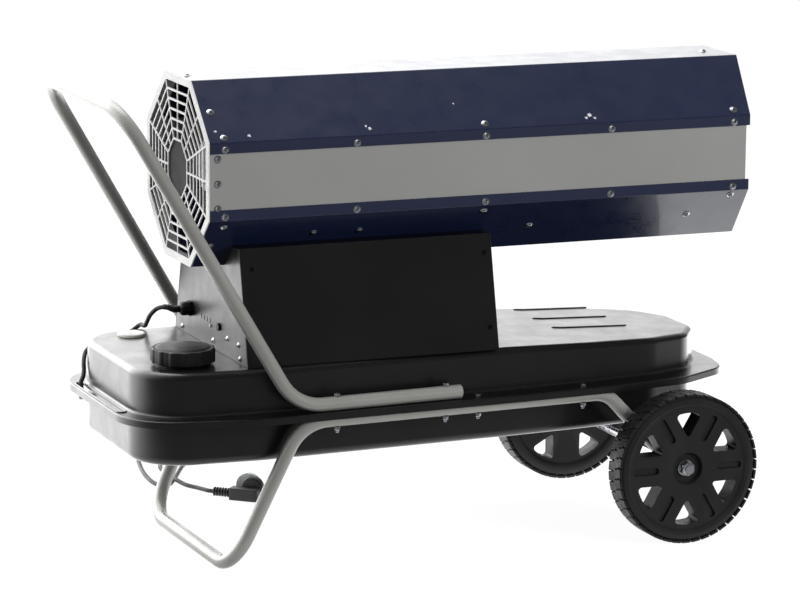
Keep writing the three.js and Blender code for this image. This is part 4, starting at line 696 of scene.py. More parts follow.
SMOOTHED = (
    # node, finish, slot, body, edge radius
    ("flame_diffuser", "heat_steel", "stainless", "frame", 0.0),
    ("burner_head", "bright_zinc", "zinc", "frame", 0.0),
    ("ignition_electrodes", "glazed_white", "white_ceramic", "frame", 0.0),
    ("motor_body", "black_enamel", "black_paint", "frame", 0.0),
    ("air_pump", "cast_alloy", "cast_aluminium", "frame", 0.0),
    ("motor_shaft", "heat_steel", "stainless", "rotor", 0.0),
    ("fan", "cast_alloy", "cast_aluminium", "rotor", 0.0),
    ("reset_button", "black_moulding", "black_plastic", "button", 0.0),
    ("indicator_lamp", "white_moulding", "white_plastic", "frame", 0.0),
    ("power_switch_frame", "black_moulding", "black_plastic", "frame", 0.4),
    ("power_switch_rocker", "black_moulding", "black_plastic", "rocker", 0.5),
    ("thermostat_body", "black_moulding", "black_plastic", "frame", 0.0),
    ("filler_neck", "dark_steel", "zinc", "frame", 0.0),
    ("filler_strainer", "white_moulding", "white_plastic", "frame", 0.0),
    ("cap_gasket", "rubber_sheath", "rubber", "cap_seal", 0.0),
    ("suction_pipe", "turned_brass", "brass", "frame", 0.0),
    ("fuel_line", "drawn_copper", "copper", "frame", 0.0),
    ("axle", "bright_zinc", "zinc", "frame", 0.0),
    ("pedestal_left_plate", "pedestal_enamel", "black_paint", "frame", 0.45),
    ("pedestal_right_plate", "pedestal_enamel", "black_paint", "frame", 0.45),
    ("side_cover_near", "pedestal_enamel", "black_paint", "frame", 0.45),
    ("side_cover_far", "pedestal_enamel", "black_paint", "frame", 0.45),
)


# ------------------------------------------------------------------ barrel

def half_side(across):
    return across / 2 * math.tan(math.pi / 8)


def barrel_end(y):
    """Where the barrel ends at a distance y from the middle: its sides are cut back."""
    a, h = BARREL_SIDE, half_side(BARREL["across"])
    return BARREL["right"] - BARREL["cut_back"] * max(0.0, abs(y) - h) / (a - h)


def folded_shell(name, side, fold):
    """One folded half of the barrel, with a radius at each fold."""
    a, z0 = BARREL_SIDE, BARREL["axis_z"]

    def outline(inwards, radius):
        b = a - inwards
        g = half_side(2 * b)
        corners = [((0, b, PANEL_HALF), 0), ((0, b, g), radius), ((0, g, b), radius),
                   ((0, -g, b), radius), ((0, -b, g), radius), ((0, -b, PANEL_HALF), 0)]
        return rounded_route(corners, 6)

    bm = bmesh.new()
    rings = []
    for outer, inner in zip(outline(0.0, fold), outline(SHEET, fold - SHEET)):
        rings.append([Vector((x, p.y, z0 + side * p.z)) for p, x in (
            (outer, BARREL["left"]), (outer, barrel_end(outer.y)),
            (inner, barrel_end(inner.y)), (inner, BARREL["left"]))])
    skin(bm, rings, caps=True)
    piece = plain_mesh(name, bm, crease=20)
    flat_faces_flat(piece)
    return piece


def outlet_end(bm):
    """The outlet plate: eight-sided tray with a rolled edge round its opening."""
    across = BARREL["across"] - 2 * SHEET - 2 * SEAT - 2 * SHEET - 2 * SEAT
    x, hole, rim = OUTLET["x"], OUTLET["hole"], OUTLET["rim"]
    sides = 64

    def eight(inwards, at):
        """Points round the octagon, at even angles."""
        reach = across / 2 - inwards
        ring = []
        for i in range(sides):
            angle = TURN * i / sides
            step = (angle + math.pi / 8) % (math.pi / 4) - math.pi / 8
            r = reach / math.cos(step)
            ring.append(Vector((at, r * math.cos(angle), BARREL["axis_z"] + r * math.sin(angle))))
        return ring

    def round_ring(radius, at):
        return [Vector((at, y, BARREL["axis_z"] + z)) for y, z in circle(radius, sides)]

    rings = [eight(0.0, x - rim), eight(0.0, x - 1.2), eight(0.4, x - 0.4), eight(1.2, x),
             round_ring(hole + 1.5, x), round_ring(hole + 0.4, x - 0.4), round_ring(hole, x - 1.5),
             round_ring(hole, x - OUTLET["roll"]), round_ring(hole + SHEET, x - OUTLET["roll"]),
             round_ring(hole + SHEET, x - SHEET - 1.0), eight(SHEET + 0.3, x - SHEET),
             eight(SHEET, x - rim)]
    skin(bm, rings, loop=True)


def chamber_skin(bm):
    r, rear, front = CHAMBER["radius"], CHAMBER["rear"], CHAMBER["front"]
    neck, port = CHAMBER["neck"], CHAMBER["port"]
    profile = [(port, rear), (r - 3, rear), (r - 0.9, rear + 0.9), (r, rear + 3),
               (r, front - 24), (r - 1, front - 20), (neck, front), (neck - SHEET, front),
               (r - SHEET - 1, front - 20), (r - SHEET, front - 24), (r - SHEET, rear + 4),
               (r - 4, rear + SHEET), (port, rear + SHEET)]
    along_x = Matrix.Rotation(math.pi / 2, 4, "Y")
    lathe(bm, profile, 96, Matrix.Translation((0, 0, BARREL["axis_z"])) @ along_x, loop=True)


# ------------------------------------------------------------------ fasteners

def washer_screw():
    """A pan screw with a washer face and a cross recess; local Z is out of the sheet."""
    radius, rise = SCREW["radius"], SCREW["rise"]
    bm = bmesh.new()
    profile = [(0, -0.2), (radius, -0.2), (radius, 0.5), (radius - 0.3, 0.8), (radius * 0.72, 0.9),
               *arc((radius * 0.2, 0.7), radius * 0.5, 8, 80, 5)]
    top = profile[-1][1]
    profile += [(0, top + 0.1)]
    lathe(bm, [(r, z * rise / 3.2) for r, z in profile], 24)
    head = plain_mesh("washer_screw", bm, crease=40)
    bm = bmesh.new()
    reach, slot = SCREW["cross_half"], SCREW["slot_half"]
    for quarter in (0, 1):
        turn = Matrix.Rotation(quarter * math.pi / 2, 4, "Z")
        prism(bm, [(-reach, -slot), (reach, -slot), (reach, slot), (-reach, slot)], rise * 0.3,
              rise + 2, turn)
    carve(head, plain_mesh("recess", bm), 40)
    return head


def hex_solid(bm, across, low, high, place=Matrix.Identity(4), chamfer=0.5):
    """A hexagon with its corners turned down at both ends."""
    rounds = 36
    rings = []
    for z, cut in ((low, chamfer), (low + chamfer * 0.8, 0.0), (high - chamfer * 0.8, 0.0), (high, chamfer)):
        ring = []
        for i in range(rounds):
            angle = TURN * i / rounds
            step = (angle + math.pi / 6) % (math.pi / 3) - math.pi / 6
            flat = across / 2 / math.cos(step)
            limit = across / 2 / math.cos(math.pi / 6) - cut
            ring.append(place @ Vector((min(flat, limit) * math.cos(angle),
                                        min(flat, limit) * math.sin(angle), z)))
        rings.append(ring)
    skin(bm, rings, caps=True)


def frame_bolts():
    """Screw heads, washers, shanks and lock nuts of the eight frame bolts."""
    handle_top = HANDLE_RUN_Z + TUBE["radius"] + SEAT
    flange_top = FLANGE_TOP + SEAT
    low = STAND_RUN_Z - TUBE["radius"] - SEAT
    shank, washer, thick = BOLT["shank"], BOLT["washer"], BOLT["washer_height"]
    nut = low - thick - BOLT["nut"]
    end = nut - BOLT["collar"]
    tip = low - BOLT["tip"]
    for name, xs, top in (("handle_bolts", HANDLE_BOLT_XS, handle_top),
                          ("stand_bolts", STAND_BOLT_XS, flange_top)):
        bm = bmesh.new()
        lathe(bm, [(0, tip), (shank - 0.3, tip), (shank, tip + 0.5), (shank, top + 1), (0, top + 1)], 16)
        lathe(bm, [(0, top), (washer, top), (washer, top + thick), (0, top + thick)], 24)
        hex_solid(bm, BOLT["across"], top + thick, top + thick + BOLT["head"])
        lathe(bm, [(0, low - thick), (washer, low - thick), (washer, low), (0, low)], 24)
        hex_solid(bm, BOLT["across"], nut, low - thick)
        lathe(bm, [(0, end), (3.1, end), (3.5, end + 0.6), (3.6, nut), (0, nut)], 24)
        bolt = plain_mesh("bolt", bm, crease=25)
        places = []
        nodes = []
        for x in xs:
            number = (HANDLE_BOLT_XS + STAND_BOLT_XS).index(x) + 1
            for side, word in ((-1, "near"), (1, "far")):
                places.append(((x, side * stand_half_at(x), 0), (0, 0, 1), (math.cos(x), math.sin(x), 0)))
                nodes.append(f"frame_bolt_{word}_{number}")
        set_of(name, bolt, places, "bright_zinc", stands_for=nodes)


def barrel_screws(screw_size):
    places = []
    for x, y, z, out_y, out_z in BARREL_SCREWS:
        for side in (-1, 1):
            places.append(facing_out(x, side * y, z, (0, side * out_y, out_z)))
    for place in (TOP_SCREW, FRONT_TOP_SCREW):
        places.append(facing_out(*place, (0, 0, 1)))
    set_of("barrel_screws", washer_screw(), places, "bright_zinc", size=screw_size,
           spin=1.0, seed=7)


def pedestal_screws():
    places = []
    for x, z in COVER_SCREWS:
        up = (z - BOX_BOTTOM) / (PEDESTAL["top"] - BOX_BOTTOM)
        y = PEDESTAL["bottom_half"] + (PEDESTAL["top_half"] - PEDESTAL["bottom_half"]) * up
        for side in (-1, 1):
            places.append(facing_out(x, side * y, z, (0, side * math.cos(LEAN), math.sin(LEAN))))
    set_of("cover_screws", washer_screw(), places, "dark_steel", size=0.72, spin=1.0,
           seed=3)
    places = [facing_out(PEDESTAL["left"], y, z, (-1, 0, 0)) for y, z in PLATE_SCREWS]
    places += [facing_out(PEDESTAL["right"], -y, z, (1, 0, 0)) for y, z in PLATE_SCREWS]
    set_of("end_plate_screws", washer_screw(), places, "bright_zinc", size=0.82, spin=1.0,
           seed=11)


# ------------------------------------------------------------------ tank

def half_outline(corners, segments=7):
    """Half a plan outline with rounded corners, from the left end to the right end."""
    stops = [((corners[0][0], 0, 0), 0)]
    stops += [((x, y, 0), r) for x, y, r in corners]
    stops.append(((corners[-1][0], 0, 0), 0))
    return rounded_route(stops, segments)[1:-1]


def inset_half(half, distance):
    """The half outline moved inwards by a distance."""
    loop = [p.xy for p in half] + [Vector((p.x, -p.y)) for p in reversed(half)]
    count = len(loop)
    moved = []
    for i in range(len(half)):
        here = loop[i]
        into = (here - loop[i - 1]).normalized()
        out = (loop[(i + 1) % count] - here).normalized()
        normal_in, normal_out = Vector((into.y, -into.x)), Vector((out.y, -out.x))
        mitre = (normal_in + normal_out).normalized()
        point = here + mitre * (distance / mitre.dot(normal_in))
        moved.append(Vector((point.x, point.y, 0)))
    return moved


def fall_at(x, z):
    along = min(1.0, max(0.0, (x - TOP_FALL["start"]) / (TOP_FALL["end"] - TOP_FALL["start"])))
    up = min(1.0, max(0.0, (z - SEAM_Z - 12) / (TANK["top"] - SEAM_Z - 12)))
    return TOP_FALL["drop"] * along * up


def tank_ring(half, z):
    both = [(p.x, p.y) for p in half] + [(p.x, -p.y) for p in reversed(half)]
    return [Vector((x, y, z - fall_at(x, z))) for x, y in both]


def pressed_half(bm, side, fillet, segments=7):
    """One pressed half of the tank: lip, flange, wall, rounded edge and flat, as thick sheet."""
    flange, wall = half_outline(FLANGE_CORNERS), half_outline(WALL_CORNERS)
    reach = TANK["top"] if side > 0 else TANK["bottom"]
    edge = TANK["edge"] if side > 0 else TANK["bottom_edge"]
    face = FLANGE_TOP if side > 0 else FLANGE_BOTTOM
    draft = TANK["draft"]

    def wall_rings(shift):
        """From the flange up the wall to the flat, on a face moved inwards by shift."""
        level = face - side * shift
        rings = []
        bend = fillet + shift
        for i in range(5):
            angle = i / 4 * math.pi / 2
            rings.append((inset_half(wall, shift - bend * (1 - math.sin(angle))),
                          level + side * bend * (1 - math.cos(angle))))
        radius = edge - shift
        end = reach - side * shift
        for i in range(segments + 1):
            angle = i / segments * math.pi / 2
            rings.append((inset_half(wall, shift + draft + radius * (1 - math.cos(angle))),
                          end - side * radius * (1 - math.sin(angle))))
        return rings

    if side > 0:
        low = FLANGE_TOP - TANK["lip"] - SHEET
        outer = [(flange, low), (flange, face - 2.2)]
        outer += [(inset_half(flange, 2.2 * (1 - math.cos(t))), face - 2.2 * (1 - math.sin(t)))
                  for t in (0.5, 1.0, math.pi / 2)]
        inner = [(inset_half(flange, SHEET), low), (inset_half(flange, SHEET + 0.3), face - SHEET - 1)]
        inner += [(inset_half(flange, SHEET + 1.2), face - SHEET)]
    else:
        rim = SHEET + SEAT
        outer = [(inset_half(flange, rim), SEAM_Z - SEAT / 2), (inset_half(flange, rim), face)]
        inner = [(inset_half(flange, rim + 6), SEAM_Z - SEAT / 2)]
    outer += wall_rings(0.0)
    inner += wall_rings(SHEET)
    rings = [tank_ring(half, z) for half, z in outer]
    inside = [tank_ring(half, z) for half, z in inner]
    made = skin(bm, rings)
    made_inside = skin(bm, inside)
    count = len(rings[0])
    half_count = count // 2
    for i in range(count):
        j = (i + 1) % count
        bm.faces.new((made[0][i], made[0][j], made_inside[0][j], made_inside[0][i]))
    for last in (made[-1], made_inside[-1]):
        for i in range(half_count - 1):
            bm.faces.new((last[i], last[i + 1], last[count - 2 - i], last[count - 1 - i]))


def stadium(x, half, radius, z, steps=10):
    """A long hole's outline across the tank's end, as points."""
    points = []
    for end in (1, -1):
        for i in range(steps + 1):
            angle = math.pi * i / steps + (0 if end > 0 else math.pi)
            points.append(Vector((x + radius * math.cos(angle),
                                  end * (half - radius) + radius * math.sin(angle), z)))
    return points


def slot_cutter():
    bm = bmesh.new()
    outline = [(p.x, p.y) for p in stadium(HAND_SLOT["x"], HAND_SLOT["half"], HAND_SLOT["width"] / 2, 0)]
    prism(bm, outline, SEAM_Z - 20, SEAM_Z + 20)
    return plain_mesh("slot_cutter", bm)


def round_cutter(x, y, radius, z):
    bm = bmesh.new()
    prism(bm, circle(radius, 48), z - 12, z + 12, Matrix.Translation((x, y, 0)))
    return plain_mesh("round_cutter", bm)


def tank_pieces(fillet):
    bm = bmesh.new()
    pressed_half(bm, 1, fillet)
    upper = plain_mesh("tank_upper", bm, crease=50)
    carve(upper, slot_cutter(), 50)
    carve(upper, round_cutter(*FILLER, NECK_HOLE, TANK["top"]), 50)
    carve(upper, round_cutter(GAUGE["x"], GAUGE["y"], GAUGE["barrel"] + SEAT, TANK["top"]), 50)
    flat_faces_flat(upper)
    finish_piece(upper, "black_enamel", stands_for=("tank_upper_shell",))
    bm = bmesh.new()
    pressed_half(bm, -1, fillet)
    lower = plain_mesh("tank_lower", bm, crease=50)
    carve(lower, slot_cutter(), 50)
    flat_faces_flat(lower)
    finish_piece(lower, "black_enamel", stands_for=("tank_lower_shell",))
    # The rolled rim round the hand slot
    bm = bmesh.new()
    rim = stadium(HAND_SLOT["x"], HAND_SLOT["half"] + 1.2, HAND_SLOT["width"] / 2 + 1.2, FLANGE_TOP + 0.2, 12)
    tube(bm, rim, 1.5, 12, closed=True)
    finish_piece(plain_mesh("hand_slot_rim", bm), "black_enamel")


def top_ribs():
    """The raised ribs on the falling stretch of the top, with slanted ends."""
    w, rise = RIB["width"] / 2, RIB["rise"]
    length = RIB["end"] - RIB["start"]
    bm = bmesh.new()
    rings = []
    for inwards, z in ((0.0, -0.6), (0.0, 0.1), (0.4, rise * 0.6), (1.2, rise * 0.95), (2.2, rise)):
        hw = w - inwards
        outline = [(2 * w + inwards, -hw), (length - inwards, -hw), (length + w - 1.6 * inwards, 0),
                   (length - inwards, hw), (-2 * w + inwards * 2.2, hw)]
        rings.append([Vector((x, y, z)) for x, y in outline])
    skin(bm, rings, caps=True)
    rib = plain_mesh("rib", bm, crease=50)
    slope = TOP_FALL["drop"] / (TOP_FALL["end"] - TOP_FALL["start"])
    tilt = Vector((slope, 0, 1)).normalized()
    places = []
    for y in RIB["ys"]:
        z = TANK["top"] - fall_at(RIB["start"], TANK["top"])
        places.append(((RIB["start"], y, z), tuple(tilt), (1, 0, -slope)))
    set_of("tank_top_ribs", rib, places, "black_enamel")


# ------------------------------------------------------------------ cap and gauge

def ribbed_ring(radius, dent, z, ribs=CAP["ribs"], steps=12):
    """A ring whose radius swells at each grip rib."""
    ring = []
    count = ribs * steps
    for i in range(count):
        t = (i / steps + 0.5) % 1.0 - 0.5
        rise = 1.0 - min(1.0, max(0.0, (abs(t) - 0.14) / 0.1))
        rise = rise * rise * (3 - 2 * rise)
        r = radius - dent * (1 - rise)
        angle = TURN * i / count
        ring.append(Vector((FILLER[0] + r * math.cos(angle), FILLER[1] + r * math.sin(angle), z)))
    return ring


def fuel_cap():
    """Screw cap: ribbed skirt, a step and a shallow dome, hollow underneath."""
    R, dent, low, high = CAP["radius"], CAP["dent"], CAP["low"], CAP["high"]
    dome = CAP["dome"]
    rings = [ribbed_ring(R - 1.2, dent, low), ribbed_ring(R - 0.3, dent, low + 0.4),
             ribbed_ring(R, dent, low + 1.4), ribbed_ring(R, dent, high - 2.0),
             ribbed_ring(R - 0.4, dent, high - 0.8), ribbed_ring(R - 1.6, dent * 0.8, high - 0.1),
             ribbed_ring(R - 3.2, dent * 0.3, high), ribbed_ring(R - 5.0, 0, high + 0.1),
             ribbed_ring(R - 5.6, 0, high - 0.3), ribbed_ring(R - 6.6, 0, high - 0.2),
             ribbed_ring(R - 7.4, 0, high + 0.8)]
    for part in (0.72, 0.58, 0.42, 0.27, 0.13, 0.05, 0.0):
        share = part / 0.84
        rings.append(ribbed_ring((R - 7.4) * share, 0, high + dome * (1 - 0.9 * share ** 2)))
    roof, bore = CAP["roof"], CAP["bore"]
    inside = [ribbed_ring(0.0, 0, roof), ribbed_ring(bore, 0, roof), ribbed_ring(bore + 1.5, 0, low + 5.0),
              ribbed_ring(bore + 4.9, 0, low + 1.5), ribbed_ring(bore + 5.1, 0, low)]
    bm = bmesh.new()
    skin(bm, inside + rings)
    piece = plain_mesh("fuel_cap_moulding", bm, crease=48)
    finish_piece(piece, "black_moulding", "cap", ("fuel_cap",))


def gauge_pieces():
    x, y, seat, R = GAUGE["x"], GAUGE["y"], GAUGE["seat"], GAUGE["radius"]
    place = Matrix.Translation((x, y, 0))
    bm = bmesh.new()
    top = seat + GAUGE["rise"]
    stem, stem_end = GAUGE["stem"], GAUGE["stem_end"]
    barrel, barrel_end = GAUGE["barrel"], GAUGE["barrel_end"]
    dial = seat + GAUGE["dial"]
    profile = [(0, stem_end), (stem, stem_end), (stem, barrel_end), (barrel, barrel_end),
               (barrel, seat), (R, seat),
               (R, top - 1.4), (R - 0.5, top - 0.5), (R - 1.5, top), (R - 2.4, top),
               (R - 2.8, top - 0.4), (R - 2.9, dial), (0, dial)]
    lathe(bm, profile, 64, place)
    piece = plain_mesh("gauge_case", bm, crease=40)
    finish_piece(piece, "white_moulding", stands_for=("gauge_housing",))
    bm = bmesh.new()
    lathe(bm, [(0, dial), (R - 3.0, dial), (R - 3.0, dial + 0.45), (0, dial + 0.45)], 64, place)
    finish_piece(plain_mesh("gauge_dial", bm, crease=40), "marking_white")
    bm = bmesh.new()
    prism(bm, [(0, -0.35), (3.2, -0.35), (3.2, 0.35), (0, 0.35)], 0, 0.25)
    tick = plain_mesh("tick", bm)
    places = []
    for i in range(GAUGE["ticks"]):
        angle = math.radians(GAUGE["tick_step"] * i)
        away = (math.cos(angle), math.sin(angle), 0)
        places.append(((x + away[0] * 12.5, y + away[1] * 12.5, seat + 1.3), (0, 0, 1), away))
    set_of("gauge_ticks", tick, places, "black_moulding")
    bm = bmesh.new()
    lens = [(0, seat + 3.3), (R - 3.1, seat + 3.3), (R - 2.95, seat + 3.5), (R - 3.1, seat + 4.0),
            (R * 0.4, seat + 4.25), (0, seat + 4.3)]
    lathe(bm, lens, 64, place)
    finish_piece(plain_mesh("gauge_lens", bm, crease=40), "clear_lens")


# ------------------------------------------------------------------ tube frame

def frame_half_at(x):
    t = (x - HANDLE["corner_x"]) / (HANDLE["end_x"] - HANDLE["corner_x"])
    return HANDLE["corner_half"] + (HANDLE["end_half"] - HANDLE["corner_half"]) * t


def stand_half_at(x):
    if x <= HANDLE["end_x"]:
        return frame_half_at(x)
    t = (x - HANDLE["end_x"]) / (STAND["knee_x"] - HANDLE["end_x"])
    return HANDLE["end_half"] + (STAND["knee_half"] - HANDLE["end_half"]) * t


def both_sides(stops):
    far = [((x, -y, z), bend) for (x, y, z), bend in stops]
    return stops + far[::-1]


def spaced(route, step):
    """The route with its long straights divided, so that shading stays even."""
    points = [route[0]]
    for point in route[1:]:
        gap = point - points[-1]
        parts = max(1, int(gap.length // step))
        start = points[-1]
        points += [start + gap * (k / parts) for k in range(1, parts + 1)]
    return points


def frame_tubes():
    handle = both_sides([
        ((HANDLE["end_x"], -HANDLE["end_half"], HANDLE_RUN_Z), 0),
        ((HANDLE["corner_x"], -HANDLE["corner_half"], HANDLE_RUN_Z), HANDLE["bend_bottom"]),
        ((HANDLE["top"][0], -HANDLE["top_half"], HANDLE["top"][1]), HANDLE["bend_top"])])
    bm = bmesh.new()
    tube(bm, spaced(rounded_route(handle, 12), 60), TUBE["radius"], 32, bore=TUBE["bore"])
    piece = plain_mesh("push_handle", bm, crease=40)
    rounded_edges(piece, 0.3, angle=60)
    finish_piece(piece, "tube_enamel", stands_for=("handle_tube",))
    down = Vector((AXLE["x"] - STAND["knee_x"], 0, AXLE["z"] - STAND_RUN_Z)).normalized()
    end = Vector((AXLE["x"], -STAND["knee_half"], AXLE["z"])) + down * STAND["past_end"]
    stand = both_sides([
        (tuple(end), 0),
        ((STAND["knee_x"], -STAND["knee_half"], STAND_RUN_Z), STAND["bend_knee"]),
        ((STAND["corner_x"], -frame_half_at(STAND["corner_x"]), STAND_RUN_Z), STAND["bend_corner"]),
        ((STAND["foot_x"], -STAND["foot_half"], TUBE["radius"]), STAND["bend_foot"])])
    bm = bmesh.new()
    tube(bm, spaced(rounded_route(stand, 12), 60), TUBE["radius"], 32, bore=TUBE["bore"])
    piece = plain_mesh("stand", bm, crease=40)
    bm = bmesh.new()
    oval = [(FOOT_HOLE["half_x"] * x, FOOT_HOLE["half_y"] * y) for x, y in circle(1.0, 24)]
    prism(bm, oval, -6, 6, Matrix.Translation(FOOT_HOLE["place"]))
    carve(piece, plain_mesh("foot_hole", bm), 40)
    rounded_edges(piece, 0.3, angle=60)
    finish_piece(piece, "tube_enamel", stands_for=("stand_tube",))


# ------------------------------------------------------------------ wheels

def wheel_blank():
    """The wheel's solid of revolution about local Z, its outer face upwards."""
    r, w = WHEEL["radius"] - WHEEL["lug"], WHEEL["width"]
    face = 36.0
    profile = [(6.3, -13), (16, -13), (17, -12.4), (18, 6), (85, 6), (87, 5.2), (89, 2),
               (91, 0.8), (98, 0), (103, 0.8), (105.2, 2.6), (r, 6), (r, w - 6), (105.2, w - 2.6),
               (103.4, w - 0.9), (101, w - 0.1), (98.6, w + 0.1), (97.6, w + 0.5), (96.4, w + 0.5),
               (95.4, w), (92.4, w - 0.5), (90.6, face + 1.6), (89.2, face + 0.3), (87.4, face),
               (25.4, face), (24.0, face - 0.4), (23.2, face - 1.6), (22.2, w - WHEEL["recess"] + 1),
               (21.2, w - WHEEL["recess"]), (6.3, w - WHEEL["recess"])]
    bm = bmesh.new()
    lathe(bm, profile, 96, loop=True)
    return plain_mesh("wheel_blank", bm, crease=30)


def rounded_outline(corners, segments=4):
    """A closed outline in (x, y) with rounded corners, from (x, y, radius)."""
    count = len(corners)
    points = []
    for i, (x, y, r) in enumerate(corners):
        before, after = corners[i - 1], corners[(i + 1) % count]
        trio = [((before[0], before[1], 0), 0), ((x, y, 0), r), ((after[0], after[1], 0), 0)]
        points += [(p.x, p.y) for p in rounded_route(trio, segments)[1:-1]]
    return points


def wheel_cutter():
    """Six windows and six long grooves, as one cutter."""
    bm = bmesh.new()
    spokes, half, reach = SPOKES["count"], SPOKES["half"], SPOKES["reach"]
    near, far, wide, corner = (GROOVE[key] for key in ("from", "to", "half", "corner"))
    spread = math.pi / spokes
    apex = half / math.sin(spread)
    edge = spread - math.asin(half / reach)
    for i in range(spokes):
        turn = Matrix.Rotation(TURN * i / spokes, 4, "Z")
        swing = edge * 0.96
        corners = [(apex + 2.5, 0.0, 3.5),
                   (reach * math.cos(swing), -reach * math.sin(swing), 5.0),
                   (reach * 1.004, 0.0, 60.0),
                   (reach * math.cos(swing), reach * math.sin(swing), 5.0)]
        prism(bm, rounded_outline(corners), -30, 60, turn @ Matrix.Rotation(spread, 4, "Z"))
        groove = rounded_outline([(near, -wide, corner), (far, -wide, corner), (far, wide, corner),
                                  (near, wide, corner)], 5)
        prism(bm, groove, GROOVE["floor"], 50, turn)
    return plain_mesh("wheel_cutter", bm)


def tread_block():
    """One tread lug: a stepped block, narrower at its top. Local Z is outwards."""
    bm = bmesh.new()
    rings = []
    for shrink, z in ((0.0, -1.2), (0.0, 1.3), (0.25, 1.9), (0.9, 2.3)):
        rings.append([Vector((x, y, z)) for x, y in (
            (-11.5 + shrink, -7.9 + shrink), (2.0, -7.9 + shrink), (4.0, -5.5 + shrink),
            (11.5 - shrink, -5.5 + shrink), (11.5 - shrink, 7.9 - shrink), (2.0, 7.9 - shrink),
            (0.0, 5.5 - shrink), (-11.5 + shrink, 5.5 - shrink))])
    skin(bm, rings, caps=True)
    return plain_mesh("tread_block", bm, crease=30)


def wheel(side, body, node, lug_count):
    """One wheel: the far one stands turned by half the angle between two spokes."""
    blank = wheel_blank()
    carve(blank, wheel_cutter(), 28)
    rounded_edges(blank, 0.7, angle=38)
    if side > 0:
        blank.data.transform(Matrix.Rotation(math.radians(FAR_WHEEL_TURN), 4, "Z"))
    centre = Vector((AXLE["x"], side * (WHEEL["outer_y"] - WHEEL["width"]), AXLE["z"])) * METRES
    blank.data.transform(Matrix.Translation(centre) @ Matrix.Rotation(-side * math.pi / 2, 4, "X"))
    blank.name = blank.data.name = "wheel_" + ("near" if side < 0 else "far") + "_moulding"
    finish_piece(blank, "wheel_moulding", body, (node,))
    places = []
    base = WHEEL["radius"] - WHEEL["lug"]
    for row, across in enumerate(TREAD_ROWS):
        for i in range(lug_count):
            angle = TURN * (i + 0.5 * row) / lug_count
            out = Vector((math.cos(angle), 0, math.sin(angle)))
            y = side * (WHEEL["outer_y"] - WHEEL["width"] + across)
            at = Vector((AXLE["x"], y, AXLE["z"])) + out * base
            along = (0, side * (1 if row == 0 else -1), 0)
            places.append((tuple(at), tuple(out), along))
    set_of(blank.name.replace("moulding", "tread"), tread_block(), places, "wheel_moulding",
           body)


def axle_nuts():
    """Washer and lock nut on each end of the axle."""
    base = WHEEL["outer_y"] - WHEEL["recess"] + SEAT
    bore = AXLE["radius"] + SEAT
    washer = AXLE_NUT["washer"]
    seat = base + AXLE_NUT["washer_height"]
    top = seat + AXLE_NUT["height"]
    for side, word in ((-1, "near"), (1, "far")):
        bm = bmesh.new()
        place = Matrix.Translation((AXLE["x"], 0, AXLE["z"])) @ Matrix.Rotation(-side * math.pi / 2, 4, "X")
        lathe(bm, [(bore, base), (washer - 0.4, base), (washer, base + 0.4), (washer, seat - 0.3),
                   (washer - 0.4, seat), (bore, seat)], 48, place, loop=True)
        hex_solid(bm, AXLE_NUT["across"], seat, top, place, 1.0)
        lathe(bm, [(6.1, top - 0.1), (8.6, top - 0.1), (8.6, top + 1.4), (7.6, top + 2.5),
                   (6.1, top + 2.5)], 48, place, loop=True)
        piece = plain_mesh(f"axle_lock_nut_{word}", bm, crease=28)
        finish_piece(piece, "bright_zinc", stands_for=(f"axle_nut_{word}",))


# ------------------------------------------------------------------ cord, gland and plug

def cord_line(steps=8):
    """The cord's centreline in millimetres: a centripetal curve through the route."""
    turn = math.radians(PLUG["turn"])
    away = Vector((math.cos(turn), math.sin(turn), 0))
    mouth = Vector(PLUG["at"]) - away * PLUG["relief"]
    end = mouth - away * SEAT
    start = Vector(CORD_START)
    stops = [start - Vector((CORD_STRAIGHT, 0, 0)), *(Vector(p) for p in CORD_ROUTE),
             end - away * CORD_STRAIGHT]
    padded = [stops[0] * 2 - stops[1], *stops, stops[-1] * 2 - stops[-2]]
    line = [start]
    for i in range(1, len(padded) - 2):
        p0, p1, p2, p3 = padded[i - 1:i + 3]
        t0 = 0.0
        t1 = t0 + (p1 - p0).length ** 0.5
        t2 = t1 + (p2 - p1).length ** 0.5
        t3 = t2 + (p3 - p2).length ** 0.5
        for k in range(steps):
            t = t1 + (t2 - t1) * k / steps
            a1 = p0 * ((t1 - t) / (t1 - t0)) + p1 * ((t - t0) / (t1 - t0))
            a2 = p1 * ((t2 - t) / (t2 - t1)) + p2 * ((t - t1) / (t2 - t1))
            a3 = p2 * ((t3 - t) / (t3 - t2)) + p3 * ((t - t2) / (t3 - t2))
            b1 = a1 * ((t2 - t) / (t2 - t0)) + a2 * ((t - t0) / (t2 - t0))
            b2 = a2 * ((t3 - t) / (t3 - t1)) + a3 * ((t - t1) / (t3 - t1))
            line.append(b1 * ((t2 - t) / (t2 - t1)) + b2 * ((t - t1) / (t2 - t1)))
    line += [stops[-1], end]
    return line


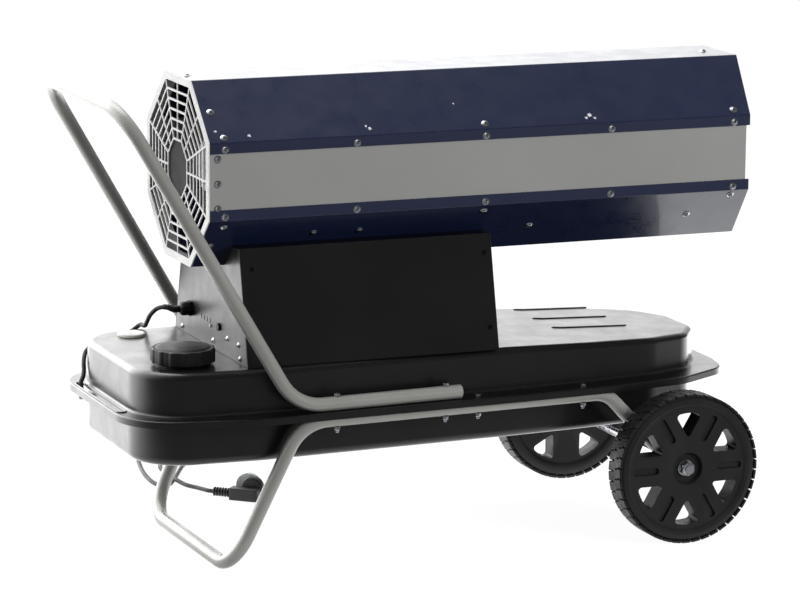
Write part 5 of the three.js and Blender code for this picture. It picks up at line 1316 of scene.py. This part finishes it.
def gland_piece():
    """Cable gland: flange, hexagon and grooved dome nut."""
    x, y, z = PEDESTAL["left"], GLAND["y"], GLAND["z"]
    place = Matrix.Translation((x, y, z)) @ Matrix.Rotation(-math.pi / 2, 4, "Y")
    bm = bmesh.new()
    hex_solid(bm, GLAND["across"], SEAT, 6.0, place, 0.8)
    rings = []
    for radius, dent, at in ((9.8, 0.0, 5.9), (10.0, 0.7, 7.0), (10.0, 0.8, 13.5), (9.2, 0.6, 15.5),
                             (7.4, 0.2, 17.6), (5.2, 0.0, 18.4), (4.6, 0.0, 18.2)):
        ring = []
        for i in range(96):
            t = (i / 12 + 0.5) % 1 - 0.5
            r = radius - dent * max(0.0, 1 - abs(t) / 0.18)
            angle = TURN * i / 96
            ring.append(place @ Vector((r * math.cos(angle), r * math.sin(angle), at)))
        rings.append(ring)
    skin(bm, rings, caps=True)
    lathe(bm, [(3.7, -12), (8, -12), (8, 0.4), (3.7, 0.4)], 32, place, loop=True)
    hex_solid(bm, GLAND["across"], -6.5, -1.5, place, 0.8)
    piece = plain_mesh("cord_gland", bm, crease=30)
    return finish_piece(piece, "black_moulding", stands_for=("cable_gland",))


def cord_relief(line):
    """The tapered relief that carries the cord out of the gland."""
    route = [line[0] + Vector((3.0, 0, 0))]
    gone = 0.0
    for before, here in zip(line, line[1:]):
        gone += (here - before).length
        if gone > RELIEF["length"]:
            break
        route.append(here)
    route = spaced(route, 1.5)
    radii = []
    for i in range(len(route)):
        ridge = RELIEF["ridge"] if i % 3 == 1 else 0.0
        radii.append(RELIEF["start"] - RELIEF["taper"] * i / (len(route) - 1) + ridge)
    bm = bmesh.new()
    tube(bm, route, radii, 24)
    piece = plain_mesh("cord_relief", bm, crease=60)
    return finish_piece(piece, "rubber_sheath")


def mains_plug():
    """Angled plug: ribbed relief, block body and a round head with its pale pin cover."""
    turn = Matrix.Translation(PLUG["at"]) @ Matrix.Rotation(math.radians(PLUG["turn"]), 4, "Z")
    along_x = turn @ Matrix.Rotation(math.pi / 2, 4, "Y")
    w, length = PLUG["width"] / 2, PLUG["length"]
    bm = bmesh.new()
    start = -PLUG["relief"]
    profile = [(0, start), (4.2, start), (4.8, start + 0.6)]
    for i in range(PLUG_RIBS["count"]):
        at = start + 1 + i * PLUG_RIBS["pitch"]
        profile += [(4.9, at), (6.6, at + 0.3), (7.0, at + 0.8), (7.0, at + 1.7), (6.6, at + 2.2),
                    (4.9, at + 2.5)]
    profile += [(5.2, 0.6), (0, 0.6)]
    lathe(bm, profile, 32, along_x)
    relief = plain_mesh("plug_relief", bm, crease=50)
    finish_piece(relief, "rubber_sheath")
    bm = bmesh.new()
    outline = rounded_outline([(0, -w, 2.5), (length, -w, 6.0), (length, w, 3.0), (0, w, 2.5)], 5)
    prism(bm, outline, -w + 0.2, w, turn)
    body = plain_mesh("plug_body", bm, crease=40)
    rounded_edges(body, 1.6, 3, 50)
    finish_piece(body, "rubber_sheath", stands_for=("mains_plug",))
    head = PLUG_HEAD
    # The head's axis runs along local +Y, away from the block
    up = head["centre_z"] - PLUG["at"][2]
    side_on = turn @ Matrix.Translation((head["along"], w, up)) @ Matrix.Rotation(-math.pi / 2, 4, "X")
    bm = bmesh.new()
    r, deep = head["radius"], head["depth"]
    lathe(bm, [(0, -4), (r - 4, -4), (r - 1.6, -3.2), (r - 0.3, -1.4), (r, 0.6), (r, deep - 1),
               (r - 0.6, deep), (0, deep)], 64, side_on)
    head_piece = plain_mesh("plug_head", bm, crease=40)
    finish_piece(head_piece, "rubber_sheath")
    shift = Matrix.Translation((head["cover_along"] - head["along"], 0, 0))
    bm = bmesh.new()
    r, low, high = PIN_COVER["radius"], PIN_COVER["from"], PIN_COVER["depth"]
    lathe(bm, [(r - 5.5, low + 0.2), (r - 0.4, low + 0.2), (r, low + 0.8), (r, high - 1.2),
               (r - 0.8, high - 0.2), (r - 2.5, high), (0, high), (0, high - 1.4),
               (r - 4, high - 1.4), (r - 2.6, high - 2.8), (r - 2.6, low + 2.4),
               (r - 5.5, low + 1.6)], 64, turn @ shift @ turn.inverted() @ side_on)
    cover = plain_mesh("plug_pin_cover", bm, crease=40)
    finish_piece(cover, "frosted_cover")
    return [relief, body, head_piece, cover]


def mains_cord():
    line = cord_line()
    curve = bpy.data.curves.new("mains_lead", "CURVE")
    curve.dimensions = "3D"
    curve.bevel_depth = CORD_DIAMETER / 2 * METRES
    curve.bevel_resolution = 5
    curve.use_fill_caps = True
    spline = curve.splines.new("POLY")
    spline.points.add(len(line) - 1)
    for point, place in zip(spline.points, line):
        point.co = (*(place * METRES), 1.0)
    curve.materials.append(FINISHES["rubber_sheath"])
    lead = bpy.data.objects.new("mains_lead", curve)
    bpy.context.scene.collection.objects.link(lead)
    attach(lead, "frame")
    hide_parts("mains_cord")
    gland_piece()
    relief = cord_relief(line)
    plug = mains_plug()


# ------------------------------------------------------------------ controls on the far cover

def cover_place(x, up):
    """A place on the far cover whose local Z points out of it."""
    up_way = Vector((0, -math.sin(LEAN), math.cos(LEAN)))
    out_way = Vector((0, math.cos(LEAN), math.sin(LEAN)))
    origin = Vector((x, PEDESTAL["bottom_half"], BOX_BOTTOM)) + up_way * up
    turn = Matrix((Vector((-1, 0, 0)), up_way, out_way)).transposed().to_4x4()
    return Matrix.Translation(origin) @ turn


def control_knob():
    """The thermostat's knob: a fluted skirt with a raised pointer, and its scale of ticks."""
    place = cover_place(KNOB["x"], KNOB["up"])
    bm = bmesh.new()
    rings = []
    low, shaft, skirt = KNOB["lift"], KNOB["shaft"], KNOB["skirt"]
    for radius, dent, z in ((shaft, 0, low), (skirt - 0.4, 0, low), (skirt, 0, low + 0.4),
                            (skirt, 0, low + 2.6), (skirt - 0.6, 0, low + 3.2), (13.4, 0.6, low + 4.6),
                            (12.8, 0.9, low + 12.5), (12.2, 0.7, low + 14.2), (10.8, 0.2, low + 15.0),
                            (6.0, 0, low + 15.1), (0.0, 0, low + 15.1)):
        ring = []
        for i in range(96):
            t = (i / 6 + 0.5) % 1 - 0.5
            r = radius - dent * max(0.0, 1 - abs(t) / 0.3)
            angle = TURN * i / 96
            ring.append(place @ Vector((r * math.cos(angle), r * math.sin(angle), z)))
        rings.append(ring)
    rings += [[place @ Vector((0, 0, 5.0))] * 96,
              [place @ Vector((x, y, 5.0)) for x, y in circle(shaft, 96)]]
    skin(bm, rings, loop=True)
    knob = plain_mesh("thermostat_knob_moulding", bm, crease=35)
    finish_piece(knob, "black_moulding", "knob", ("thermostat_knob",))
    bm = bmesh.new()
    prism(bm, [(-0.8, 3), (0.8, 3), (0.8, 11.5), (-0.8, 11.5)], low + 14.8, low + 15.9, place)
    finish_piece(plain_mesh("thermostat_pointer", bm), "marking_white", "knob")
    bm = bmesh.new()
    prism(bm, [(0, -0.4), (3.5, -0.4), (3.5, 0.4), (0, 0.4)], -0.1, 0.15)
    tick = plain_mesh("scale_tick", bm)
    places = []
    turn = place.to_3x3()
    for i in range(SCALE["ticks"]):
        angle = math.radians(SCALE["start"] + SCALE["step"] * i)
        away = Vector((math.cos(angle), math.sin(angle), 0))
        at = place @ (away * SCALE["radius"])
        places.append((tuple(at), tuple(turn @ Vector((0, 0, 1))), tuple(turn @ away)))
    set_of("thermostat_scale", tick, places, "marking_white")


# ------------------------------------------------------------------ stage

# Places and sizes in metres: name, place, size, watts, seen in mirror reflections
SOFTBOXES = (
    ("back", (-1.6, 3.6, 1.9), (4.0, 3.0), 50.0, True),
    ("left", (-3.2, 0.9, 2.4), (2.2, 2.2), 70.0, False),
    ("over", (-0.2, 0.9, 3.4), (3.0, 2.0), 50.0, True),
    ("front", (2.4, -4.2, 1.8), (2.2, 2.2), 215.0, False),
)
LIT_MIDDLE = (0.0, 0.0, 0.4)
# In mirror reflections the floor brightens along its "way" over its "span" in metres, and the room
# brightens towards its own "way", over its "span" of the cosine of the angle to it
FLOOR = {"half": 30000, "tone": 0.13, "way": (0.1, 1.0, 0.0), "span": (-0.75, 0.75),
         "mirrored": (0.03, 2.9)}
ROOM = {"way": (-0.45, 0.85, 0.3), "span": (-0.4, 1.0), "dim": 0.1, "bright": 4.7, "sharpness": 3.0}

def softbox(name, place, size, power, mirrored):
    """A soft lamp, out of the camera's sight and, where asked, out of mirror reflections too."""
    light = bpy.data.lights.new(name, "AREA")
    light.shape = "RECTANGLE"
    light.size, light.size_y = size
    light.energy = power
    lamp = bpy.data.objects.new(name, light)
    lamp.location = place
    aim = Vector(LIT_MIDDLE) - Vector(place)
    lamp.rotation_euler = aim.to_track_quat("-Z", "Y").to_euler()
    lamp.visible_camera = False
    lamp.visible_glossy = mirrored
    bpy.context.scene.collection.objects.link(lamp)


class Graph:
    """Short names for building a node tree."""

    def __init__(self, tree):
        self.tree = tree

    def join(self, operation, first, second):
        made = self.tree.nodes.new("ShaderNodeMath")
        made.operation = operation
        for socket, value in zip(made.inputs, (first, second)):
            if isinstance(value, (int, float)):
                socket.default_value = value
            else:
                self.tree.links.new(value, socket)
        return made.outputs[0]

    def rising(self, source, way, span, levels, curve="LINEAR"):
        """A level that rises along a direction, from the first to the second end of span."""
        along = self.tree.nodes.new("ShaderNodeVectorMath")
        along.operation = "DOT_PRODUCT"
        along.inputs[1].default_value = way
        self.tree.links.new(source, along.inputs[0])
        made = self.tree.nodes.new("ShaderNodeMapRange")
        made.interpolation_type = curve
        for label, value in zip(("From Min", "From Max", "To Min", "To Max"), (*span, *levels)):
            made.inputs[label].default_value = value
        self.tree.links.new(along.outputs["Value"], made.inputs["Value"])
        return made.outputs[0]


def studio_world(level):
    """Even light on the object and a white background. Mirror reflections see a bright room
    behind the object and a dim one behind the camera."""
    world = bpy.data.worlds.new("studio")
    bpy.context.scene.world = world
    world.use_nodes = True
    tree = world.node_tree
    graph = Graph(tree)
    path = tree.nodes.new("ShaderNodeLightPath").outputs
    coords = tree.nodes.new("ShaderNodeTexCoord").outputs["Generated"]
    rise = graph.rising(coords, Vector(ROOM["way"]).normalized(), ROOM["span"], (0.0, 1.0))
    peak = graph.join("POWER", rise, ROOM["sharpness"])
    room = graph.join("ADD", ROOM["dim"], graph.join("MULTIPLY", ROOM["bright"], peak))
    plain = graph.join("MULTIPLY", level, path["Is Diffuse Ray"])
    mirrored = graph.join("MULTIPLY", room, path["Is Glossy Ray"])
    seen = graph.join("MAXIMUM", path["Is Camera Ray"], path["Is Transmission Ray"])
    total = graph.join("MAXIMUM", graph.join("MAXIMUM", plain, mirrored), seen)
    tree.links.new(total, tree.nodes["Background"].inputs["Strength"])
    tree.nodes["Background"].inputs["Color"].default_value = (1, 1, 1, 1)


def pale_floor(glow):
    """A wide floor that shows white and keeps a faint shadow. In mirror reflections it is bright
    behind the object and dim before it."""
    bm = bmesh.new()
    half, tone = FLOOR["half"], FLOOR["tone"]
    bm.faces.new([bm.verts.new((x, y, 0)) for x, y in ((-half, -half), (half, -half), (half, half),
                                                       (-half, half))])
    floor = plain_mesh("studio_floor", bm, outward=False)
    material = bpy.data.materials.new("pale_floor")
    material.use_nodes = True
    tree = material.node_tree
    graph = Graph(tree)
    shader = tree.nodes["Principled BSDF"]
    shader.inputs["Base Color"].default_value = (tone, tone, tone, 1)
    shader.inputs["Roughness"].default_value = 0.9
    shader.inputs["Specular IOR Level"].default_value = 0.0
    shader.inputs["Emission Color"].default_value = (1, 1, 1, 1)
    path = tree.nodes.new("ShaderNodeLightPath").outputs
    coords = tree.nodes.new("ShaderNodeTexCoord").outputs["Object"]
    rise = graph.rising(coords, FLOOR["way"], FLOOR["span"], FLOOR["mirrored"], "SMOOTHSTEP")
    seen = graph.join("MAXIMUM", path["Is Camera Ray"], path["Is Transmission Ray"])
    lift = graph.join("ADD", graph.join("MULTIPLY", glow, seen),
                      graph.join("MULTIPLY", rise, path["Is Glossy Ray"]))
    tree.links.new(lift, shader.inputs["Emission Strength"])
    floor.data.materials.append(material)


def photograph_camera():
    """The fitted camera: place, turn and lens."""
    azimuth, elevation, roll = (math.radians(CAMERA[k]) for k in ("azimuth", "elevation", "roll"))
    right = Vector((math.cos(azimuth), math.sin(azimuth), 0))
    back = Vector((math.sin(azimuth) * math.cos(elevation),
                   -math.cos(azimuth) * math.cos(elevation), math.sin(elevation)))
    up = back.cross(right)
    across = right * math.cos(roll) + up * math.sin(roll)
    above = up * math.cos(roll) - right * math.sin(roll)
    data = bpy.data.cameras.new("photograph")
    data.sensor_width = CAMERA["sensor_mm"]
    data.lens = CAMERA["focal_px"] * CAMERA["sensor_mm"] / CAMERA["image_px"]
    data.clip_start, data.clip_end = 0.1, 200
    camera = bpy.data.objects.new("photograph", data)
    turn = Matrix((across, above, back)).transposed().to_4x4()
    camera.matrix_world = Matrix.Translation(CAMERA["place"]) @ turn
    bpy.context.scene.collection.objects.link(camera)
    bpy.context.scene.camera = camera


# ------------------------------------------------------------------ properties

class HeaterSizes(bpy.types.PropertyGroup):
    """Sizes of the visible detail."""

    fold: bpy.props.FloatProperty(
        name="Fold radius", description="Outer radius of the barrel's folds, in millimetres",
        default=3.0, min=1.5, max=8.0)
    fillet: bpy.props.FloatProperty(
        name="Tank fillet", description="Radius where the tank's wall meets its flange, in millimetres",
        default=4.0, min=1.0, max=8.0)
    screw: bpy.props.FloatProperty(
        name="Screw size", description="Size of the barrel's screws against an 11 mm washer face",
        default=1.0, min=0.5, max=1.5)
    lugs: bpy.props.IntProperty(
        name="Tread lugs", description="Number of tread lugs in each row round a wheel",
        default=44, min=12, max=72)


class HeaterColours(bpy.types.PropertyGroup):
    """Colours of the painted pieces."""

    navy: bpy.props.FloatVectorProperty(
        name="Navy", description="Enamel of the barrel", subtype="COLOR", size=3,
        default=linear(21, 29, 56)[:3], min=0, max=1)
    band: bpy.props.FloatVectorProperty(
        name="Band grey", description="Enamel of the side bands", subtype="COLOR", size=3,
        default=linear(138, 138, 136)[:3], min=0, max=1)
    tubes: bpy.props.FloatVectorProperty(
        name="Tube grey", description="Enamel of the handle and the stand", subtype="COLOR", size=3,
        default=linear(158, 158, 154)[:3], min=0, max=1)
    black: bpy.props.FloatVectorProperty(
        name="Black", description="Enamel of the tank and the pedestal", subtype="COLOR", size=3,
        default=linear(14, 14, 15)[:3], min=0, max=1)


class HeaterStudio(bpy.types.PropertyGroup):
    """Levels of the studio's light."""

    level: bpy.props.FloatProperty(
        name="Room light", description="Strength of the room's even light", default=0.4, min=0, max=2)
    lamps: bpy.props.FloatProperty(
        name="Softboxes", description="Power of the softboxes", default=1.0, min=0, max=4)
    glow: bpy.props.FloatProperty(
        name="Floor lift", description="How far the floor is lifted to white", default=0.945, min=0, max=1)


# ------------------------------------------------------------------ operators

class PieceOperator:
    """What the operators share: they build, and a fault is raised."""

    bl_options = {"REGISTER"}

    def execute(self, context):
        self.build(context.scene)
        return {"FINISHED"}


class HEATER_OT_camera(PieceOperator, bpy.types.Operator):
    """Set the photograph's camera"""
    bl_idname = "heater.camera"
    bl_label = "Camera"

    def build(self, scene):
        photograph_camera()


class HEATER_OT_finishes(PieceOperator, bpy.types.Operator):
    """Make the materials and dress the CAD nodes that stay in view"""
    bl_idname = "heater.finishes"
    bl_label = "Finishes"

    def build(self, scene):
        make_finishes(scene.heater_colours)
        for node, finish in CAD_FINISHES.items():
            mesh = NODES[node].data
            mesh.materials.clear()
            mesh.materials.append(FINISHES[finish])


class HEATER_OT_cord(PieceOperator, bpy.types.Operator):
    """Lay the mains cord with its gland, relief and plug"""
    bl_idname = "heater.cord"
    bl_label = "Mains cord"

    def build(self, scene):
        mains_cord()


class HEATER_OT_barrel(PieceOperator, bpy.types.Operator):
    """Build the folded shells, the outlet plate and the chamber"""
    bl_idname = "heater.barrel"
    bl_label = "Barrel"

    def build(self, scene):
        fold = scene.heater_sizes.fold
        for name, node, side in (("barrel_upper", "upper_shell", 1),
                                 ("barrel_lower", "lower_shell", -1)):
            shell = folded_shell(name, side, fold)
            finish_piece(shell, "navy_enamel", stands_for=(node,))
        for name, node, make, finish, slot in (
                ("outlet_end_plate", "outlet_plate", outlet_end, "navy_enamel", "navy_paint"),
                ("chamber_skin", "combustion_chamber", chamber_skin, "heat_steel", "stainless")):
            bm = bmesh.new()
            make(bm)
            finish_piece(plain_mesh(name, bm, crease=30), finish, stands_for=(node,))


class HEATER_OT_inner_pieces(PieceOperator, bpy.types.Operator):
    """Smooth the turned and folded pieces that keep their CAD shape"""
    bl_idname = "heater.inner_pieces"
    bl_label = "Turned and folded pieces"

    def build(self, scene):
        for node, finish, slot, body, width in SMOOTHED:
            softened_copy(node, finish, body, width)


class HEATER_OT_screws(PieceOperator, bpy.types.Operator):
    """Set the screws of the barrel and the pedestal"""
    bl_idname = "heater.screws"
    bl_label = "Screws"

    def build(self, scene):
        barrel_screws(scene.heater_sizes.screw)
        pedestal_screws()


class HEATER_OT_tank(PieceOperator, bpy.types.Operator):
    """Build the tank's pressed halves and its ribs"""
    bl_idname = "heater.tank"
    bl_label = "Tank"

    def build(self, scene):
        tank_pieces(scene.heater_sizes.fillet)
        top_ribs()


class HEATER_OT_cap_and_gauge(PieceOperator, bpy.types.Operator):
    """Build the fuel cap and the gauge"""
    bl_idname = "heater.cap_and_gauge"
    bl_label = "Fuel cap and gauge"

    def build(self, scene):
        fuel_cap()
        gauge_pieces()


class HEATER_OT_frame(PieceOperator, bpy.types.Operator):
    """Bend the handle and the stand, and set their bolts"""
    bl_idname = "heater.frame"
    bl_label = "Tube frame"

    def build(self, scene):
        frame_tubes()
        frame_bolts()


class HEATER_OT_wheels(PieceOperator, bpy.types.Operator):
    """Build both wheels with their tread, and the axle's nuts"""
    bl_idname = "heater.wheels"
    bl_label = "Wheels"

    def build(self, scene):
        lugs = scene.heater_sizes.lugs
        wheel(-1, "near_wheel", "wheel_near", lugs)
        wheel(1, "far_wheel", "wheel_far", lugs)
        axle_nuts()


class HEATER_OT_controls(PieceOperator, bpy.types.Operator):
    """Build the thermostat's knob and its scale"""
    bl_idname = "heater.controls"
    bl_label = "Controls"

    def build(self, scene):
        control_knob()


class HEATER_OT_stage(PieceOperator, bpy.types.Operator):
    """Set the floor, the room light and the softboxes"""
    bl_idname = "heater.stage"
    bl_label = "Studio"

    def build(self, scene):
        studio = scene.heater_studio
        scene.view_settings.view_transform = "Standard"
        studio_world(studio.level)
        pale_floor(studio.glow)
        for name, place, size, watts, mirrored in SOFTBOXES:
            softbox(name, place, size, watts * studio.lamps, mirrored)


OPERATORS = (
    HEATER_OT_camera, HEATER_OT_finishes, HEATER_OT_cord, HEATER_OT_barrel,
    HEATER_OT_inner_pieces, HEATER_OT_screws, HEATER_OT_tank, HEATER_OT_cap_and_gauge,
    HEATER_OT_frame, HEATER_OT_wheels, HEATER_OT_controls, HEATER_OT_stage,
)


class HEATER_PT_panel(bpy.types.Panel):
    """Lists the pieces and their settings"""
    bl_idname = "HEATER_PT_panel"
    bl_label = "Forced Air Heater"
    bl_space_type = "VIEW_3D"
    bl_region_type = "UI"
    bl_category = "Heater"

    def draw(self, context):
        layout = self.layout
        for group in (context.scene.heater_sizes, context.scene.heater_colours,
                      context.scene.heater_studio):
            for name in group.__annotations__:
                layout.prop(group, name)
        for operator in OPERATORS:
            layout.operator(operator.bl_idname)


GROUPS = {"heater_sizes": HeaterSizes, "heater_colours": HeaterColours, "heater_studio": HeaterStudio}


def register():
    for group in (*GROUPS.values(), *OPERATORS, HEATER_PT_panel):
        bpy.utils.register_class(group)
    for name, group in GROUPS.items():
        setattr(bpy.types.Scene, name, bpy.props.PointerProperty(type=group))


def unregister():
    for name in GROUPS:
        delattr(bpy.types.Scene, name)
    for group in (HEATER_PT_panel, *reversed(OPERATORS), *reversed(list(GROUPS.values()))):
        bpy.utils.unregister_class(group)


def main():
    register()
    for operator in OPERATORS:
        family, name = operator.bl_idname.split(".")
        getattr(getattr(bpy.ops, family), name)()


if __name__ == "__main__":
    main()
